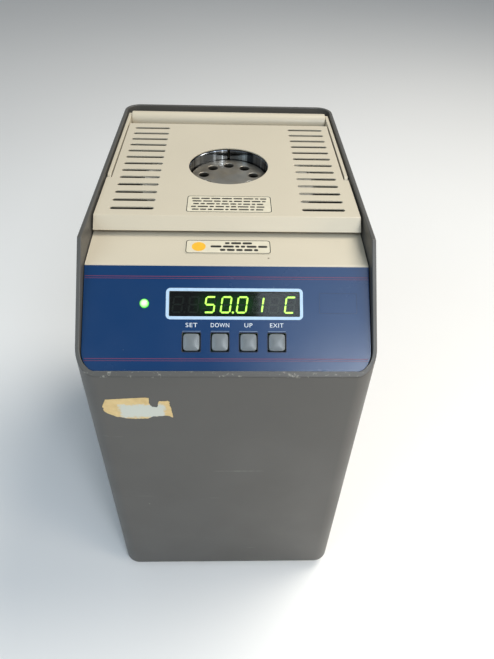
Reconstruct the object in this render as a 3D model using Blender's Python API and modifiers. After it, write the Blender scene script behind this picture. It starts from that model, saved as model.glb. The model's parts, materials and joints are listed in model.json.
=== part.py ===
"""Dry block heater: a bench-top metal block bath that heats probes in a removable insert.

Frame: metres, +Z up, the front faces -Y, and the origin is at the centre of the footprint, on the
surface that the feet stand on.
"""

from math import atan2, cos, pi, radians, sin, tan

import bmesh
import bpy
from mathutils import Matrix, Vector

# Overall size
WIDTH = 0.172
DEPTH = 0.260
FOOT_HEIGHT = 0.010
WALL_TOP = 0.2985

# Outer wrap of painted sheet
WALL = 0.0025
CORNER_RADIUS = 0.012
RIM_TOP = 0.2438
SLOPE_TOP_Y = -0.0733
FRONT_Y = -DEPTH / 2
BACK_Y = DEPTH / 2
INNER_HALF = WIDTH / 2 - WALL

# Thin sheet parts and the gap kept between neighbours
SHEET = 0.0015
GAP = 0.0003

# Sloped control panel: its top edge, its bottom edge and the ledge behind it
PANEL_TOP = Vector((0, -0.0792, 0.2841))
PANEL_BOTTOM = Vector((0, -0.1267, 0.2440))
PANEL_ANGLE = atan2(PANEL_TOP.z - PANEL_BOTTOM.z, PANEL_TOP.y - PANEL_BOTTOM.y)
PANEL_LENGTH = (PANEL_TOP - PANEL_BOTTOM).length
PANEL_HALF = INNER_HALF - 0.0006
LEDGE_BACK_Y = -0.0412
LEDGE_ANGLE = radians(5)
OVERLAY = 0.00035

# Panel features: distance down the slope from the top edge, and height above the overlay
WINDOW_CENTRE = (0.0041, 0.0232)
WINDOW_SIZE = (0.0758, 0.0148)
MODULE_SIZE = (0.0740, 0.0134)
LAMP_CENTRE = (-0.0480, 0.0232)
LAMP_RADIUS = 0.0026
KEY_NAMES = ("set", "down", "up", "exit")
KEY_FIRST_X = -0.02065
KEY_PITCH = 0.01637
KEY_DOWN = 0.0456
KEY_HOLE = (0.0105, 0.0109)
KEY_CAP = (0.0094, 0.0098)
KEY_PROUD = 0.0014
KEY_HEIGHT = 0.0056
KEY_TRAVEL = 0.0012
BOARD_TOP = -0.0095

# Top cover
COVER_TOP = 0.2962
COVER_FRONT_Y = -0.0450
COVER_BACK_Y = 0.0965
COVER_HALF = 0.0824
COVER_NOTCH_HALF = 0.0790
COVER_NOTCH_Y = 0.0035
FLANGE_DROP = (0.0071, 0.0065)
GRIP_TRAY_Z = 0.2805
SLOT_COUNT = 13
SLOT_FIRST_Y = -0.0365
SLOT_PITCH = 0.01024
SLOT_SPAN = (0.0465, 0.0737)
SLOT_WIDTH = 0.0031

# Heated well
WELL_Y = 0.0237
COVER_HOLE = 0.0279
COLLAR_INNER = 0.0278
COLLAR_OUTER = 0.0298
COLLAR_SLIT = 0.0016
INSERT_RADIUS = 0.0274
INSERT_TOP = 0.2872
INSERT_CHAMFER = 0.0006
INSERT_BOTTOM = 0.1756
PROBE_COUNT = 9
PROBE_RING = 0.0181
PROBE_RADIUS = 0.0036
PROBE_DEPTH = 0.100
BLOCK_RADIUS = 0.0420
BLOCK_TOP = 0.2820
BLOCK_BOTTOM = 0.1650
HEATER_RING = 0.03475
HEATER_RADIUS = 0.0047
HEATER_COUNT = 4
HEATER_SUNK = 0.0200
HEATER_PROUD = 0.0090
SENSOR_RADIUS = 0.0017
INSULATION_RADIUS = 0.0620
CAN_RADIUS = 0.0631
CAN_WALL = 0.0008
THERMOSTAT_RADIUS = 0.0080
THERMOSTAT_Z = 0.2050
SHELF_TOP = 0.1330

# Carrying handle
PIVOT_Y = 0.0103
PIVOT_Z = 0.2900
ARM_INNER = 0.0800
ARM_THICK = 0.0026
ARM_HALF_HEIGHT = 0.0063
GRIP_Y = 0.1150
GRIP_Z = 0.2915
GRIP_RADIUS = 0.0065
PIVOT_PIN = 0.0023
PIVOT_HEAD = 0.0042

# Rear service panel
REAR_RECESS = 0.0070
REAR_FACE_Y = BACK_Y - REAR_RECESS
REAR_HALF = 0.0700
REAR_LOW = 0.0310
REAR_HIGH = 0.2390
REAR_LIP = 0.0040
FAN_SIZE = 0.0800
FAN_DEPTH = 0.0250
FAN_RADIUS = 0.0375
FAN_HUB = 0.0160
FAN_PLATE = 0.0030
FAN_STRUTS = 4
FAN_BLADES = 7
BLADE_CHORD = 0.0220
BLADE_THICK = 0.0018
BLADE_PITCH = radians(40)
FAN_Z = 0.1500
GUARD_WIRE = 0.0018
GUARD_RINGS = 4
GUARD_RING_STEP = 0.0090
GUARD_OUTER = 0.0394
SERVICE_Z = 0.0600
INLET_X = -0.0350
SWITCH_X = 0.0350
FUSE_X = 0.0010
FLANGE_PROUD = 0.0022
INLET_BODY = (0.0272, 0.0198)
INLET_FLANGE = (0.0316, 0.0250)
INLET_SOCKET = (0.0246, 0.0164)
INLET_BEHIND = 0.0250
SOCKET_DEPTH = 0.0165
BLADE_PLACES = ((-0.0070, -0.0020), (0.0070, -0.0020), (0, 0.0020))
BLADE_SIZE = (0.0020, 0.0040)
BLADE_LENGTH = 0.0105
FUSE_BODY_RADIUS = 0.0063
FUSE_RING_RADIUS = 0.0088
FUSE_BEHIND = 0.0300
FUSE_BORE = 0.0050
FUSE_BORE_DEPTH = 0.0200
FUSE_CAP_RADIUS = 0.0046
FUSE_HEAD_RADIUS = 0.0062
FUSE_HEAD = 0.0034
FUSE_SLOT = (0.0100, 0.0014)
SWITCH_BODY = (0.0132, 0.0192)
SWITCH_FLANGE = (0.0154, 0.0216)
SWITCH_RECESS = (0.0108, 0.0176)
SWITCH_BEHIND = 0.0200
RECESS_DEPTH = 0.0095
ROCKER_HALF = 0.0050
ROCKER_END = 0.0076
ROCKER_TILT = radians(12)
SERIAL_X = 0.0300
SERIAL_Z = 0.2130
SERIAL_BODY = (0.0190, 0.0108)
SERIAL_FLANGE = (0.0308, 0.0124)
SERIAL_SHELL = (0.0168, 0.0080)
SERIAL_PROUD = 0.0060

# Base, feet and inner chassis
BASE_FLOOR = FOOT_HEIGHT + 0.0005
BASE_HEIGHT = 0.0155
INTAKE_COUNT = 6
INTAKE_PITCH = 0.0140
INTAKE_SIZE = (0.0600, 0.0040)
INTAKE_FIRST_Y = -0.0450
FOOT_X = 0.0620
FOOT_Y = 0.1060
FOOT_RADIUS = 0.0110
CHASSIS_X = 0.0745
CHASSIS_LOW = FOOT_HEIGHT + 0.0025
CHASSIS_BACK = 0.1180
CHASSIS_STEP = (0.0940, 0.2620)
SHELF_FRONT_Y = -0.0460
SHELF_BACK_Y = 0.0905
SHELF_LIP = 0.0100

# Transformer, relay and controller board
TRANSFORMER_X = 0.0340
CORE_SIZE = (0.0640, 0.0400, 0.0540)
CORE_WINDOW = (0.0100, 0.0210)
COIL_SIZE = (0.0410, 0.0600)
COIL_RISE = (0.0104, 0.0436)
RELAY_LOW = (-0.0660, -0.0200)
RELAY_HIGH = (-0.0210, 0.0380)
RELAY_HEIGHT = 0.0230
BOARD_Y = FRONT_Y + 0.0300
BOARD_LOW = (-0.0680, 0.0300)
BOARD_HIGH = (0.0680, 0.2000)
BOARD_THICK = 0.0016
BOARD_PARTS = (
    (-0.050, 0.150, 0.036, 0.014, 0.005),
    (0.000, 0.140, 0.020, 0.020, 0.004),
    (0.030, 0.120, 0.016, 0.022, 0.014),
    (-0.055, 0.060, 0.030, 0.040, 0.018),
    (0.010, 0.050, 0.045, 0.012, 0.012),
)
SMALL_SIDES = 20
ROUND_SIDES = 40


def clear_scene():
    for item in list(bpy.data.objects):
        bpy.data.objects.remove(item, do_unlink=True)


def new_collection(name):
    group = bpy.data.collections.new(name)
    bpy.context.scene.collection.children.link(group)
    return group


clear_scene()
PARTS = new_collection("dry_block_heater")
CUTTERS = new_collection("cutters")


def material(name, colour, roughness, metallic=0.0):
    """A Principled material of one colour."""
    made = bpy.data.materials.new(name)
    made.use_nodes = True
    shader = made.node_tree.nodes["Principled BSDF"]
    shader.inputs["Base Color"].default_value = (*colour, 1)
    shader.inputs["Roughness"].default_value = roughness
    shader.inputs["Metallic"].default_value = metallic
    return made


GREY_PAINT = material("grey_paint", (0.115, 0.115, 0.110), 0.5)
CREAM_PAINT = material("cream_paint", (0.72, 0.64, 0.53), 0.45)
BLUE_FILM = material("blue_film", (0.012, 0.045, 0.155), 0.4)
DARK_WINDOW = material("dark_window", (0.01, 0.015, 0.012), 0.1)
GREEN_LENS = material("green_lens", (0.15, 0.9, 0.2), 0.2)
KEY_GREY = material("key_grey", (0.28, 0.30, 0.31), 0.45)
BLACK_PLASTIC = material("black_plastic", (0.02, 0.02, 0.02), 0.5)
CIRCUIT_BOARD = material("circuit_board", (0.03, 0.16, 0.06), 0.5)
STAINLESS = material("stainless", (0.55, 0.55, 0.56), 0.2, 1.0)
BLOCK_METAL = material("block_metal", (0.62, 0.60, 0.56), 0.3, 1.0)
PLATED_STEEL = material("plated_steel", (0.5, 0.5, 0.5), 0.35, 1.0)
FIBRE = material("fibre", (0.75, 0.73, 0.68), 0.95)
RUBBER = material("rubber", (0.015, 0.015, 0.015), 0.8)
COPPER = material("copper", (0.6, 0.28, 0.15), 0.4, 1.0)


def place(mesh_builder, name, finish, location=(0, 0, 0), parent=None, cutter=False, closed=True):
    """Turn a bmesh into an object in the parts or the cutters collection."""
    mesh = bpy.data.meshes.new(name)
    if closed:
        bmesh.ops.recalc_face_normals(mesh_builder, faces=mesh_builder.faces)
    mesh_builder.to_mesh(mesh)
    mesh_builder.free()
    item = bpy.data.objects.new(name, mesh)
    item.location = location
    item.parent = parent
    if cutter:
        item.hide_render = True
        item.display_type = "WIRE"
        CUTTERS.objects.link(item)
    else:
        mesh.materials.append(finish)
        mesh.shade_smooth()
        mesh.set_sharp_from_angle(angle=radians(35))
        PARTS.objects.link(item)
    return item


def grow_box(builder, low, high, radius=0.0, along=2, segments=4):
    """Add a box between two corners, with the edges along one axis rounded."""
    low, high = Vector(low), Vector(high)
    size = Matrix.Diagonal((*(high - low), 1))
    made = bmesh.ops.create_cube(builder, size=1, matrix=Matrix.Translation((low + high) / 2) @ size)
    if radius:
        across = [axis for axis in range(3) if axis != along]
        edges = {edge for vert in made["verts"] for edge in vert.link_edges}
        upright = [
            edge for edge in edges
            if all(abs(edge.verts[0].co[axis] - edge.verts[1].co[axis]) < 1e-7 for axis in across)
        ]
        bmesh.ops.bevel(builder, geom=upright, offset=radius, segments=segments, affect="EDGES", profile=0.5)


def box(name, low, high, finish=None, radius=0.0, along=2, segments=4, **options):
    builder = bmesh.new()
    grow_box(builder, low, high, radius, along, segments)
    return place(builder, name, finish, **options)


AXIS_TURN = {"X": Matrix.Rotation(pi / 2, 4, "Y"), "Y": Matrix.Rotation(-pi / 2, 4, "X"), "Z": Matrix()}


def grow_rod(builder, start, length, radius, axis="Z", end_radius=None, sides=SMALL_SIDES):
    """Add a cylinder or cone that runs from start along an axis."""
    centre = Matrix.Translation(start) @ AXIS_TURN[axis] @ Matrix.Translation((0, 0, length / 2))
    tip = radius if end_radius is None else end_radius
    bmesh.ops.create_cone(
        builder, cap_ends=True, segments=sides, radius1=radius, radius2=tip, depth=length, matrix=centre
    )


def rod(name, start, length, radius, finish=None, axis="Z", end_radius=None, sides=SMALL_SIDES, **options):
    builder = bmesh.new()
    grow_rod(builder, start, length, radius, axis, end_radius, sides)
    return place(builder, name, finish, **options)


def outline_solid(name, outline, start, end, finish=None, **options):
    """A flat outline in the YZ plane, drawn out along X."""
    builder = bmesh.new()
    face = builder.faces.new([builder.verts.new((start, y, z)) for y, z in outline])
    made = bmesh.ops.extrude_face_region(builder, geom=[face])["geom"]
    moved = [vert for vert in made if isinstance(vert, bmesh.types.BMVert)]
    bmesh.ops.translate(builder, verts=moved, vec=(end - start, 0, 0))
    return place(builder, name, finish, **options)


def turned(name, profile, finish, location=(0, 0, 0), sides=ROUND_SIDES, **options):
    """A profile of (radius, height) points, turned about Z by a Screw modifier."""
    builder = bmesh.new()
    points = [builder.verts.new((radius, 0, height)) for radius, height in profile]
    for first, second in zip(points, points[1:] + points[:1]):
        if first.co.x or second.co.x:
            builder.edges.new((first, second))
    item = place(builder, name, finish, location, **options)
    screw = item.modifiers.new("turn", "SCREW")
    screw.steps = screw.render_steps = sides
    screw.use_merge_vertices = True
    screw.merge_threshold = 0.00001
    return item


def bent_sheet(name, path, half_width, thickness, finish):
    """A sheet folded along a path in the YZ plane, which is its upper face."""
    builder = bmesh.new()
    points = [builder.verts.new((-half_width, y, z)) for y, z in path]
    edges = [builder.edges.new(pair) for pair in zip(points, points[1:])]
    made = bmesh.ops.extrude_edge_only(builder, edges=edges)["geom"]
    moved = [vert for vert in made if isinstance(vert, bmesh.types.BMVert)]
    bmesh.ops.translate(builder, verts=moved, vec=(2 * half_width, 0, 0))
    bmesh.ops.recalc_face_normals(builder, faces=builder.faces)
    if sum(face.normal.z * face.calc_area() for face in builder.faces) < 0:
        bmesh.ops.reverse_faces(builder, faces=builder.faces)
    item = place(builder, name, finish, closed=False)
    solidify(item, thickness)
    return item


def solidify(item, thickness):
    """Give an open surface its thickness, on the side away from its normals."""
    thick = item.modifiers.new("thickness", "SOLIDIFY")
    thick.thickness = thickness
    thick.offset = -1
    thick.use_even_offset = True


def combine(item, other, operation="DIFFERENCE"):
    """Cut, join or intersect with a cutter object."""
    change = item.modifiers.new(other.name, "BOOLEAN")
    change.operation = operation
    change.solver = "EXACT"
    change.object = other


def open_tray(name, low, high, radius, along, thickness, finish, drop):
    """A rounded box with the faces that drop names taken away, given an inward thickness."""
    builder = bmesh.new()
    grow_box(builder, low, high, radius, along, segments=6)
    bmesh.ops.recalc_face_normals(builder, faces=builder.faces)
    gone = [face for face in builder.faces if drop(face.normal)]
    bmesh.ops.delete(builder, geom=gone, context="FACES")
    item = place(builder, name, finish, closed=False)
    solidify(item, thickness)
    return item


def empty(name, location, rotation=(0, 0, 0)):
    item = bpy.data.objects.new(name, None)
    item.location = location
    item.rotation_euler = rotation
    PARTS.objects.link(item)
    return item


def make_wrap():
    """Outer wrap: one sheet round the front, sides and back, cut off at a slope in front."""
    wrap = open_tray(
        "outer_shell", (-WIDTH / 2, FRONT_Y, FOOT_HEIGHT), (WIDTH / 2, BACK_Y, WALL_TOP), CORNER_RADIUS, 2,
        WALL, GREY_PAINT, drop=lambda normal: abs(normal.z) > 0.5,
    )
    rise = (WALL_TOP - RIM_TOP) / (SLOPE_TOP_Y - FRONT_Y - WALL / 2)
    reach = 0.02
    above = WALL_TOP + reach
    slope = outline_solid(
        "slope_cutter",
        [
            (FRONT_Y - reach, RIM_TOP - (reach + WALL / 2) * rise),
            (SLOPE_TOP_Y + reach / rise, above),
            (FRONT_Y - reach, above),
        ],
        -WIDTH, WIDTH, cutter=True,
    )
    combine(wrap, slope)
    lip = REAR_LIP
    window = box(
        "rear_window_cutter", (-REAR_HALF + lip, BACK_Y - 0.01, REAR_LOW + lip),
        (REAR_HALF - lip, BACK_Y + 0.01, REAR_HIGH - lip), radius=0.004, along=1, cutter=True,
    )
    combine(wrap, window)
    for side in (-1, 1):
        hole = rod(
            f"pivot_hole_cutter_{side}", (side * 0.075, PIVOT_Y, PIVOT_Z), 0.02 * side, 0.0026, axis="X",
            cutter=True,
        )
        combine(wrap, hole)
    return wrap


def make_base():
    """Bottom tray with air intake slots, on four rubber feet."""
    half_x, half_y = INNER_HALF - 0.0004, DEPTH / 2 - WALL - 0.0004
    base = open_tray(
        "base_plate", (-half_x, -half_y, BASE_FLOOR), (half_x, half_y, BASE_FLOOR + BASE_HEIGHT), 0.0091, 2,
        SHEET, PLATED_STEEL, drop=lambda normal: normal.z > 0.5,
    )
    long, wide = INTAKE_SIZE
    builder = bmesh.new()
    for row in range(INTAKE_COUNT):
        y = INTAKE_FIRST_Y + INTAKE_PITCH * row
        grow_box(builder, (-long / 2, y, 0), (long / 2, y + wide, 2 * BASE_FLOOR + BASE_HEIGHT))
    combine(base, place(builder, "intake_cutter", None, cutter=True))
    top = FOOT_HEIGHT + 0.0002
    profile = [
        (0, top), (FOOT_RADIUS, top), (FOOT_RADIUS - 0.0015, 0.0010), (FOOT_RADIUS - 0.0025, 0), (0, 0),
    ]
    for front, y in (("front", -FOOT_Y), ("rear", FOOT_Y)):
        for side, x in (("left", -FOOT_X), ("right", FOOT_X)):
            turned(f"foot_{front}_{side}", profile, RUBBER, (x, y, 0), sides=24)


def make_chassis():
    """Two upright side plates and the shelf that carries the heated block."""
    under_cover = COVER_TOP - SHEET - GAP
    under_ledge = PANEL_TOP.z - 0.014
    front = FRONT_Y + 0.010
    neck_y = COVER_FRONT_Y + 0.015
    step_y, step_z = CHASSIS_STEP
    outline = [
        (front, CHASSIS_LOW), (CHASSIS_BACK, CHASSIS_LOW), (CHASSIS_BACK, step_z), (step_y, step_z),
        (step_y, under_cover), (neck_y, under_cover), (neck_y, under_ledge), (PANEL_TOP.y, under_ledge),
        (front, under_ledge + (front - PANEL_TOP.y) * tan(PANEL_ANGLE)),
    ]
    for side, name in ((-1, "left"), (1, "right")):
        outline_solid(
            f"chassis_side_{name}", outline, side * CHASSIS_X, side * (CHASSIS_X + SHEET), PLATED_STEEL
        )
    lip = SHELF_TOP - SHELF_LIP
    bent_sheet(
        "chassis_shelf",
        [(SHELF_FRONT_Y, lip), (SHELF_FRONT_Y, SHELF_TOP), (SHELF_BACK_Y, SHELF_TOP), (SHELF_BACK_Y, lip)],
        CHASSIS_X - GAP, SHEET, PLATED_STEEL,
    )


def panel_box(name, centre, size, low, high, finish=None, **options):
    """A box on the panel: centre as (across, down the slope), heights above the overlay."""
    x, down = centre
    half_x, half_y = size[0] / 2, size[1] / 2
    return box(
        name, (x - half_x, -down - half_y, low), (x + half_x, -down + half_y, high), finish,
        parent=PANEL_FRAME, **options,
    )


def key_centre(index):
    return (KEY_FIRST_X + KEY_PITCH * index, KEY_DOWN)


def make_front():
    """Folded bezel, printed overlay, display, lamp and four keys."""
    under = Vector((0, sin(PANEL_ANGLE), -cos(PANEL_ANGLE))) * (OVERLAY + GAP)
    top, bottom = PANEL_TOP + under, PANEL_BOTTOM + under
    wall_y = FRONT_Y + WALL + 0.0006
    knee_z = bottom.z + (wall_y - bottom.y) * tan(PANEL_ANGLE)
    ledge_z = top.z + (LEDGE_BACK_Y - top.y) * tan(LEDGE_ANGLE)
    bezel = bent_sheet(
        "front_panel",
        [(wall_y, knee_z - 0.014), (wall_y, knee_z), (top.y, top.z), (LEDGE_BACK_Y, ledge_z),
         (LEDGE_BACK_Y, ledge_z - 0.012)],
        INNER_HALF, SHEET, CREAM_PAINT,
    )
    overlay = box(
        "panel_overlay", (-INNER_HALF, -PANEL_LENGTH, -OVERLAY), (INNER_HALF, -0.0002, 0), BLUE_FILM,
        parent=PANEL_FRAME,
    )
    half_y = DEPTH / 2 - WALL - 0.0005
    inside = box(
        "wrap_inside_cutter", (-PANEL_HALF, -half_y, 0.1), (PANEL_HALF, half_y, 0.4), radius=0.0091,
        segments=6, cutter=True,
    )
    builder = bmesh.new()
    x, down = WINDOW_CENTRE
    reach = 0.02
    half = (WINDOW_SIZE[0] / 2, WINDOW_SIZE[1] / 2)
    grow_box(builder, (x - half[0], -down - half[1], -reach), (x + half[0], -down + half[1], reach))
    for index in range(len(KEY_NAMES)):
        x, down = key_centre(index)
        half = (KEY_HOLE[0] / 2, KEY_HOLE[1] / 2)
        grow_box(
            builder, (x - half[0], -down - half[1], -reach), (x + half[0], -down + half[1], reach),
            radius=0.0006, segments=2,
        )
    grow_rod(builder, (LAMP_CENTRE[0], -LAMP_CENTRE[1], -reach), 2 * reach, LAMP_RADIUS + GAP)
    openings = place(builder, "panel_openings_cutter", None, parent=PANEL_FRAME, cutter=True)
    for item in (bezel, overlay):
        combine(item, inside, "INTERSECT")
        combine(item, openings)
    panel_box(
        "display_window", WINDOW_CENTRE, (WINDOW_SIZE[0] - 2 * GAP, WINDOW_SIZE[1] - 2 * GAP), -0.0017,
        -0.0002, DARK_WINDOW,
    )
    panel_box("display_module", WINDOW_CENTRE, MODULE_SIZE, BOARD_TOP + GAP, -0.0022, BLACK_PLASTIC)
    lamp_x, lamp_down = LAMP_CENTRE
    turned(
        "indicator_lamp",
        [(0, 0.0017), (0.0011, 0.0014), (0.0021, 0.0006), (LAMP_RADIUS, -0.0006), (LAMP_RADIUS, -0.0060),
         (0, -0.0060)],
        GREEN_LENS, (lamp_x, -lamp_down, 0), sides=SMALL_SIDES, parent=PANEL_FRAME,
    )
    panel_box("keypad_board", (0.0, 0.0335), (0.1300, 0.0470), BOARD_TOP - 0.0016, BOARD_TOP, CIRCUIT_BOARD)
    cap_bottom = KEY_PROUD - KEY_HEIGHT
    for index, name in enumerate(KEY_NAMES):
        x, down = key_centre(index)
        builder = bmesh.new()
        half = (KEY_CAP[0] / 2, KEY_CAP[1] / 2)
        grow_box(
            builder, (-half[0], -half[1], cap_bottom), (half[0], half[1], KEY_PROUD - 0.0006), radius=0.0012,
            segments=2,
        )
        crown = max(builder.faces, key=lambda face: face.calc_center_median().z)
        bmesh.ops.inset_region(builder, faces=[crown], thickness=0.0012, depth=0.0006)
        place(builder, f"{name}_key", KEY_GREY, (x, -down, 0), parent=PANEL_FRAME)
        panel_box(
            f"key_switch_{index + 1}", key_centre(index), (0.0062, 0.0062), BOARD_TOP + GAP,
            cap_bottom - KEY_TRAVEL - GAP, BLACK_PLASTIC,
        )


def make_cover():
    """Folded top cover with vent slots, the well's hole and notches for the handle's arms."""
    drop_y, drop_z = FLANGE_DROP
    cover = bent_sheet(
        "top_cover",
        [(COVER_FRONT_Y - drop_y, COVER_TOP - drop_z), (COVER_FRONT_Y, COVER_TOP), (COVER_BACK_Y, COVER_TOP),
         (COVER_BACK_Y, GRIP_TRAY_Z), (BACK_Y - WALL - 0.0022, GRIP_TRAY_Z)],
        COVER_HALF, SHEET, CREAM_PAINT,
    )
    builder = bmesh.new()
    for side in (-1, 1):
        edge = side * COVER_NOTCH_HALF
        beyond = side * (COVER_HALF + 0.01)
        low, high = sorted((edge, beyond))
        grow_box(builder, (low, COVER_NOTCH_Y, 0.25), (high, 0.15, 0.32))
        for row in range(SLOT_COUNT):
            y = SLOT_FIRST_Y + SLOT_PITCH * row
            low, high = sorted((side * SLOT_SPAN[0], side * SLOT_SPAN[1]))
            half = SLOT_WIDTH / 2
            grow_box(
                builder, (low, y - half, 0.28), (high, y + half, 0.31), radius=half * 0.96, segments=3
            )
    grow_rod(builder, (0, WELL_Y, 0.28), 0.04, COVER_HOLE, sides=ROUND_SIDES)
    combine(cover, place(builder, "cover_cutter", None, cutter=True))


def ring_points(count, radius, first_angle):
    """Points evenly spaced on a circle about the well's axis."""
    angles = [first_angle + 2 * pi * index / count for index in range(count)]
    return [(radius * cos(angle), WELL_Y + radius * sin(angle)) for angle in angles]


def make_well():
    """Heater block with its collar, insert, heaters and sensor."""
    axis = (0, WELL_Y, 0)
    collar_top = COVER_TOP - SHEET - GAP
    collar_bottom = BLOCK_TOP + GAP
    collar = turned(
        "well_collar",
        [(COLLAR_OUTER, collar_top), (COLLAR_OUTER, collar_bottom), (COLLAR_INNER, collar_bottom),
         (COLLAR_INNER, collar_top)],
        STAINLESS, axis,
    )
    slit = box(
        "collar_slit_cutter", (-COLLAR_SLIT / 2, WELL_Y, BLOCK_TOP - 0.01),
        (COLLAR_SLIT / 2, WELL_Y + 0.04, COVER_TOP + 0.01), cutter=True,
    )
    combine(collar, slit)
    block = turned(
        "heater_block",
        [(BLOCK_RADIUS, BLOCK_TOP), (BLOCK_RADIUS, BLOCK_BOTTOM), (0, BLOCK_BOTTOM),
         (0, INSERT_BOTTOM - GAP), (COLLAR_INNER, INSERT_BOTTOM - GAP), (COLLAR_INNER, BLOCK_TOP)],
        BLOCK_METAL, axis,
    )
    heater_top = BLOCK_TOP - HEATER_SUNK
    lead_end = BLOCK_BOTTOM - HEATER_PROUD
    heaters = ring_points(HEATER_COUNT, HEATER_RING, pi / HEATER_COUNT)
    sensor = ring_points(1, HEATER_RING, pi)[0]
    builder = bmesh.new()
    for x, y in heaters:
        grow_rod(builder, (x, y, lead_end), heater_top + GAP - lead_end, HEATER_RADIUS + GAP)
    grow_rod(builder, (*sensor, lead_end), heater_top - lead_end, SENSOR_RADIUS + GAP, sides=12)
    combine(block, place(builder, "heater_holes_cutter", None, cutter=True))
    length = heater_top - lead_end
    for index, (x, y) in enumerate(heaters):
        rod(f"cartridge_heater_{index + 1}", (x, y, lead_end), length, HEATER_RADIUS, STAINLESS)
    rod("control_sensor", (*sensor, lead_end), length - GAP, SENSOR_RADIUS, STAINLESS, sides=12)
    insert = turned(
        "well_insert",
        [(0, INSERT_TOP), (INSERT_RADIUS - INSERT_CHAMFER, INSERT_TOP),
         (INSERT_RADIUS, INSERT_TOP - INSERT_CHAMFER), (INSERT_RADIUS, INSERT_BOTTOM), (0, INSERT_BOTTOM)],
        BLOCK_METAL, axis,
    )
    builder = bmesh.new()
    for x, y in ring_points(PROBE_COUNT, PROBE_RING, pi / 2):
        grow_rod(
            builder, (x, y - WELL_Y, INSERT_TOP - PROBE_DEPTH), PROBE_DEPTH + 0.01, PROBE_RADIUS, sides=16
        )
    combine(insert, place(builder, "probe_wells_cutter", None, axis, cutter=True))
    make_insulation(axis, lead_end)


def make_insulation(axis, lead_end):
    """Fibre cup round the block, the can that holds it and the thermostat on the can."""
    can_floor = SHELF_TOP + GAP
    wool_floor = can_floor + CAN_WALL + GAP + 0.0001
    wool_inner = BLOCK_RADIUS + 0.0005
    turned(
        "block_insulation",
        [(INSULATION_RADIUS, BLOCK_TOP), (INSULATION_RADIUS, wool_floor), (0, wool_floor),
         (0, lead_end - GAP), (wool_inner, lead_end - GAP), (wool_inner, BLOCK_TOP)],
        FIBRE, axis,
    )
    can_top = BLOCK_TOP + 0.002
    inner = CAN_RADIUS - CAN_WALL
    turned(
        "block_can",
        [(CAN_RADIUS, can_top), (CAN_RADIUS, can_floor), (0, can_floor), (0, can_floor + CAN_WALL),
         (inner, can_floor + CAN_WALL), (inner, can_top)],
        PLATED_STEEL, axis,
    )
    rod(
        "safety_thermostat", (0, WELL_Y - CAN_RADIUS - GAP, THERMOSTAT_Z), -0.010, THERMOSTAT_RADIUS,
        BLACK_PLASTIC, axis="Y",
    )


def make_electronics():
    """Transformer, relay and controller board in the space under the shelf and behind the front."""
    floor = BASE_FLOOR + SHEET + GAP
    x = TRANSFORMER_X
    wide, deep, tall = CORE_SIZE
    core = box(
        "transformer_core", (x - wide / 2, -deep / 2, floor), (x + wide / 2, deep / 2, floor + tall),
        PLATED_STEEL,
    )
    near, far = CORE_WINDOW
    builder = bmesh.new()
    for side in (-1, 1):
        low, high = sorted((x + side * near, x + side * far))
        grow_box(builder, (low, -deep, floor + near), (high, deep, floor + tall - near))
    combine(core, place(builder, "core_window_cutter", None, cutter=True))
    half_x, half_y = COIL_SIZE[0] / 2, COIL_SIZE[1] / 2
    coil = box(
        "transformer_winding", (x - half_x, -half_y, floor + COIL_RISE[0]),
        (x + half_x, half_y, floor + COIL_RISE[1]), COPPER, radius=0.006, segments=3,
    )
    leg_x, leg_y = near + 0.0004, deep / 2 + 0.0004
    combine(coil, box("winding_cutter", (x - leg_x, -leg_y, 0), (x + leg_x, leg_y, 0.09), cutter=True))
    box(
        "solid_state_relay", (*RELAY_LOW, floor), (*RELAY_HIGH, floor + RELAY_HEIGHT), BLACK_PLASTIC,
        radius=0.003,
    )
    board = box(
        "controller_board", (BOARD_LOW[0], BOARD_Y - BOARD_THICK, BOARD_LOW[1]),
        (BOARD_HIGH[0], BOARD_Y, BOARD_HIGH[1]), CIRCUIT_BOARD,
    )
    builder = bmesh.new()
    for low_x, low_z, wide, high, tall in BOARD_PARTS:
        grow_box(builder, (low_x, BOARD_Y - 0.001, low_z), (low_x + wide, BOARD_Y + tall, low_z + high))
    combine(board, place(builder, "board_components", None, cutter=True), "UNION")


def rear_box(name, centre, size, start, end, finish=None, **options):
    """A box on the rear panel: centre and size in X and Z, from one depth in Y to another."""
    (x, z), (wide, tall) = centre, size
    low, high = (x - wide / 2, start, z - tall / 2), (x + wide / 2, end, z + tall / 2)
    return box(name, low, high, finish, along=1, **options)


def make_rear():
    """Recessed service panel with fan, mains inlet, fuse, power switch and serial connector."""
    panel = open_tray(
        "rear_panel", (-REAR_HALF, REAR_FACE_Y - SHEET, REAR_LOW),
        (REAR_HALF, BACK_Y - WALL - GAP, REAR_HIGH), 0.003, 1, SHEET, PLATED_STEEL,
        drop=lambda normal: normal.y > 0.5,
    )
    front, back = REAR_FACE_Y - 0.004, REAR_FACE_Y + 0.0005
    builder = bmesh.new()
    grow_rod(builder, (0, front, FAN_Z), back - front, FAN_RADIUS - 0.0005, axis="Y", sides=ROUND_SIDES)
    grow_rod(builder, (FUSE_X, front, SERVICE_Z), back - front, FUSE_BODY_RADIUS + GAP, axis="Y")
    for (x, z), size in (
        ((INLET_X, SERVICE_Z), INLET_BODY), ((SWITCH_X, SERVICE_Z), SWITCH_BODY),
        ((SERIAL_X, SERIAL_Z), SERIAL_BODY),
    ):
        half_x, half_z = size[0] / 2 + GAP, size[1] / 2 + GAP
        grow_box(builder, (x - half_x, front, z - half_z), (x + half_x, back, z + half_z))
    combine(panel, place(builder, "rear_openings_cutter", None, cutter=True))
    make_fan()
    make_mains_inlet()
    make_fuse()
    make_switch()
    make_serial()


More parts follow.
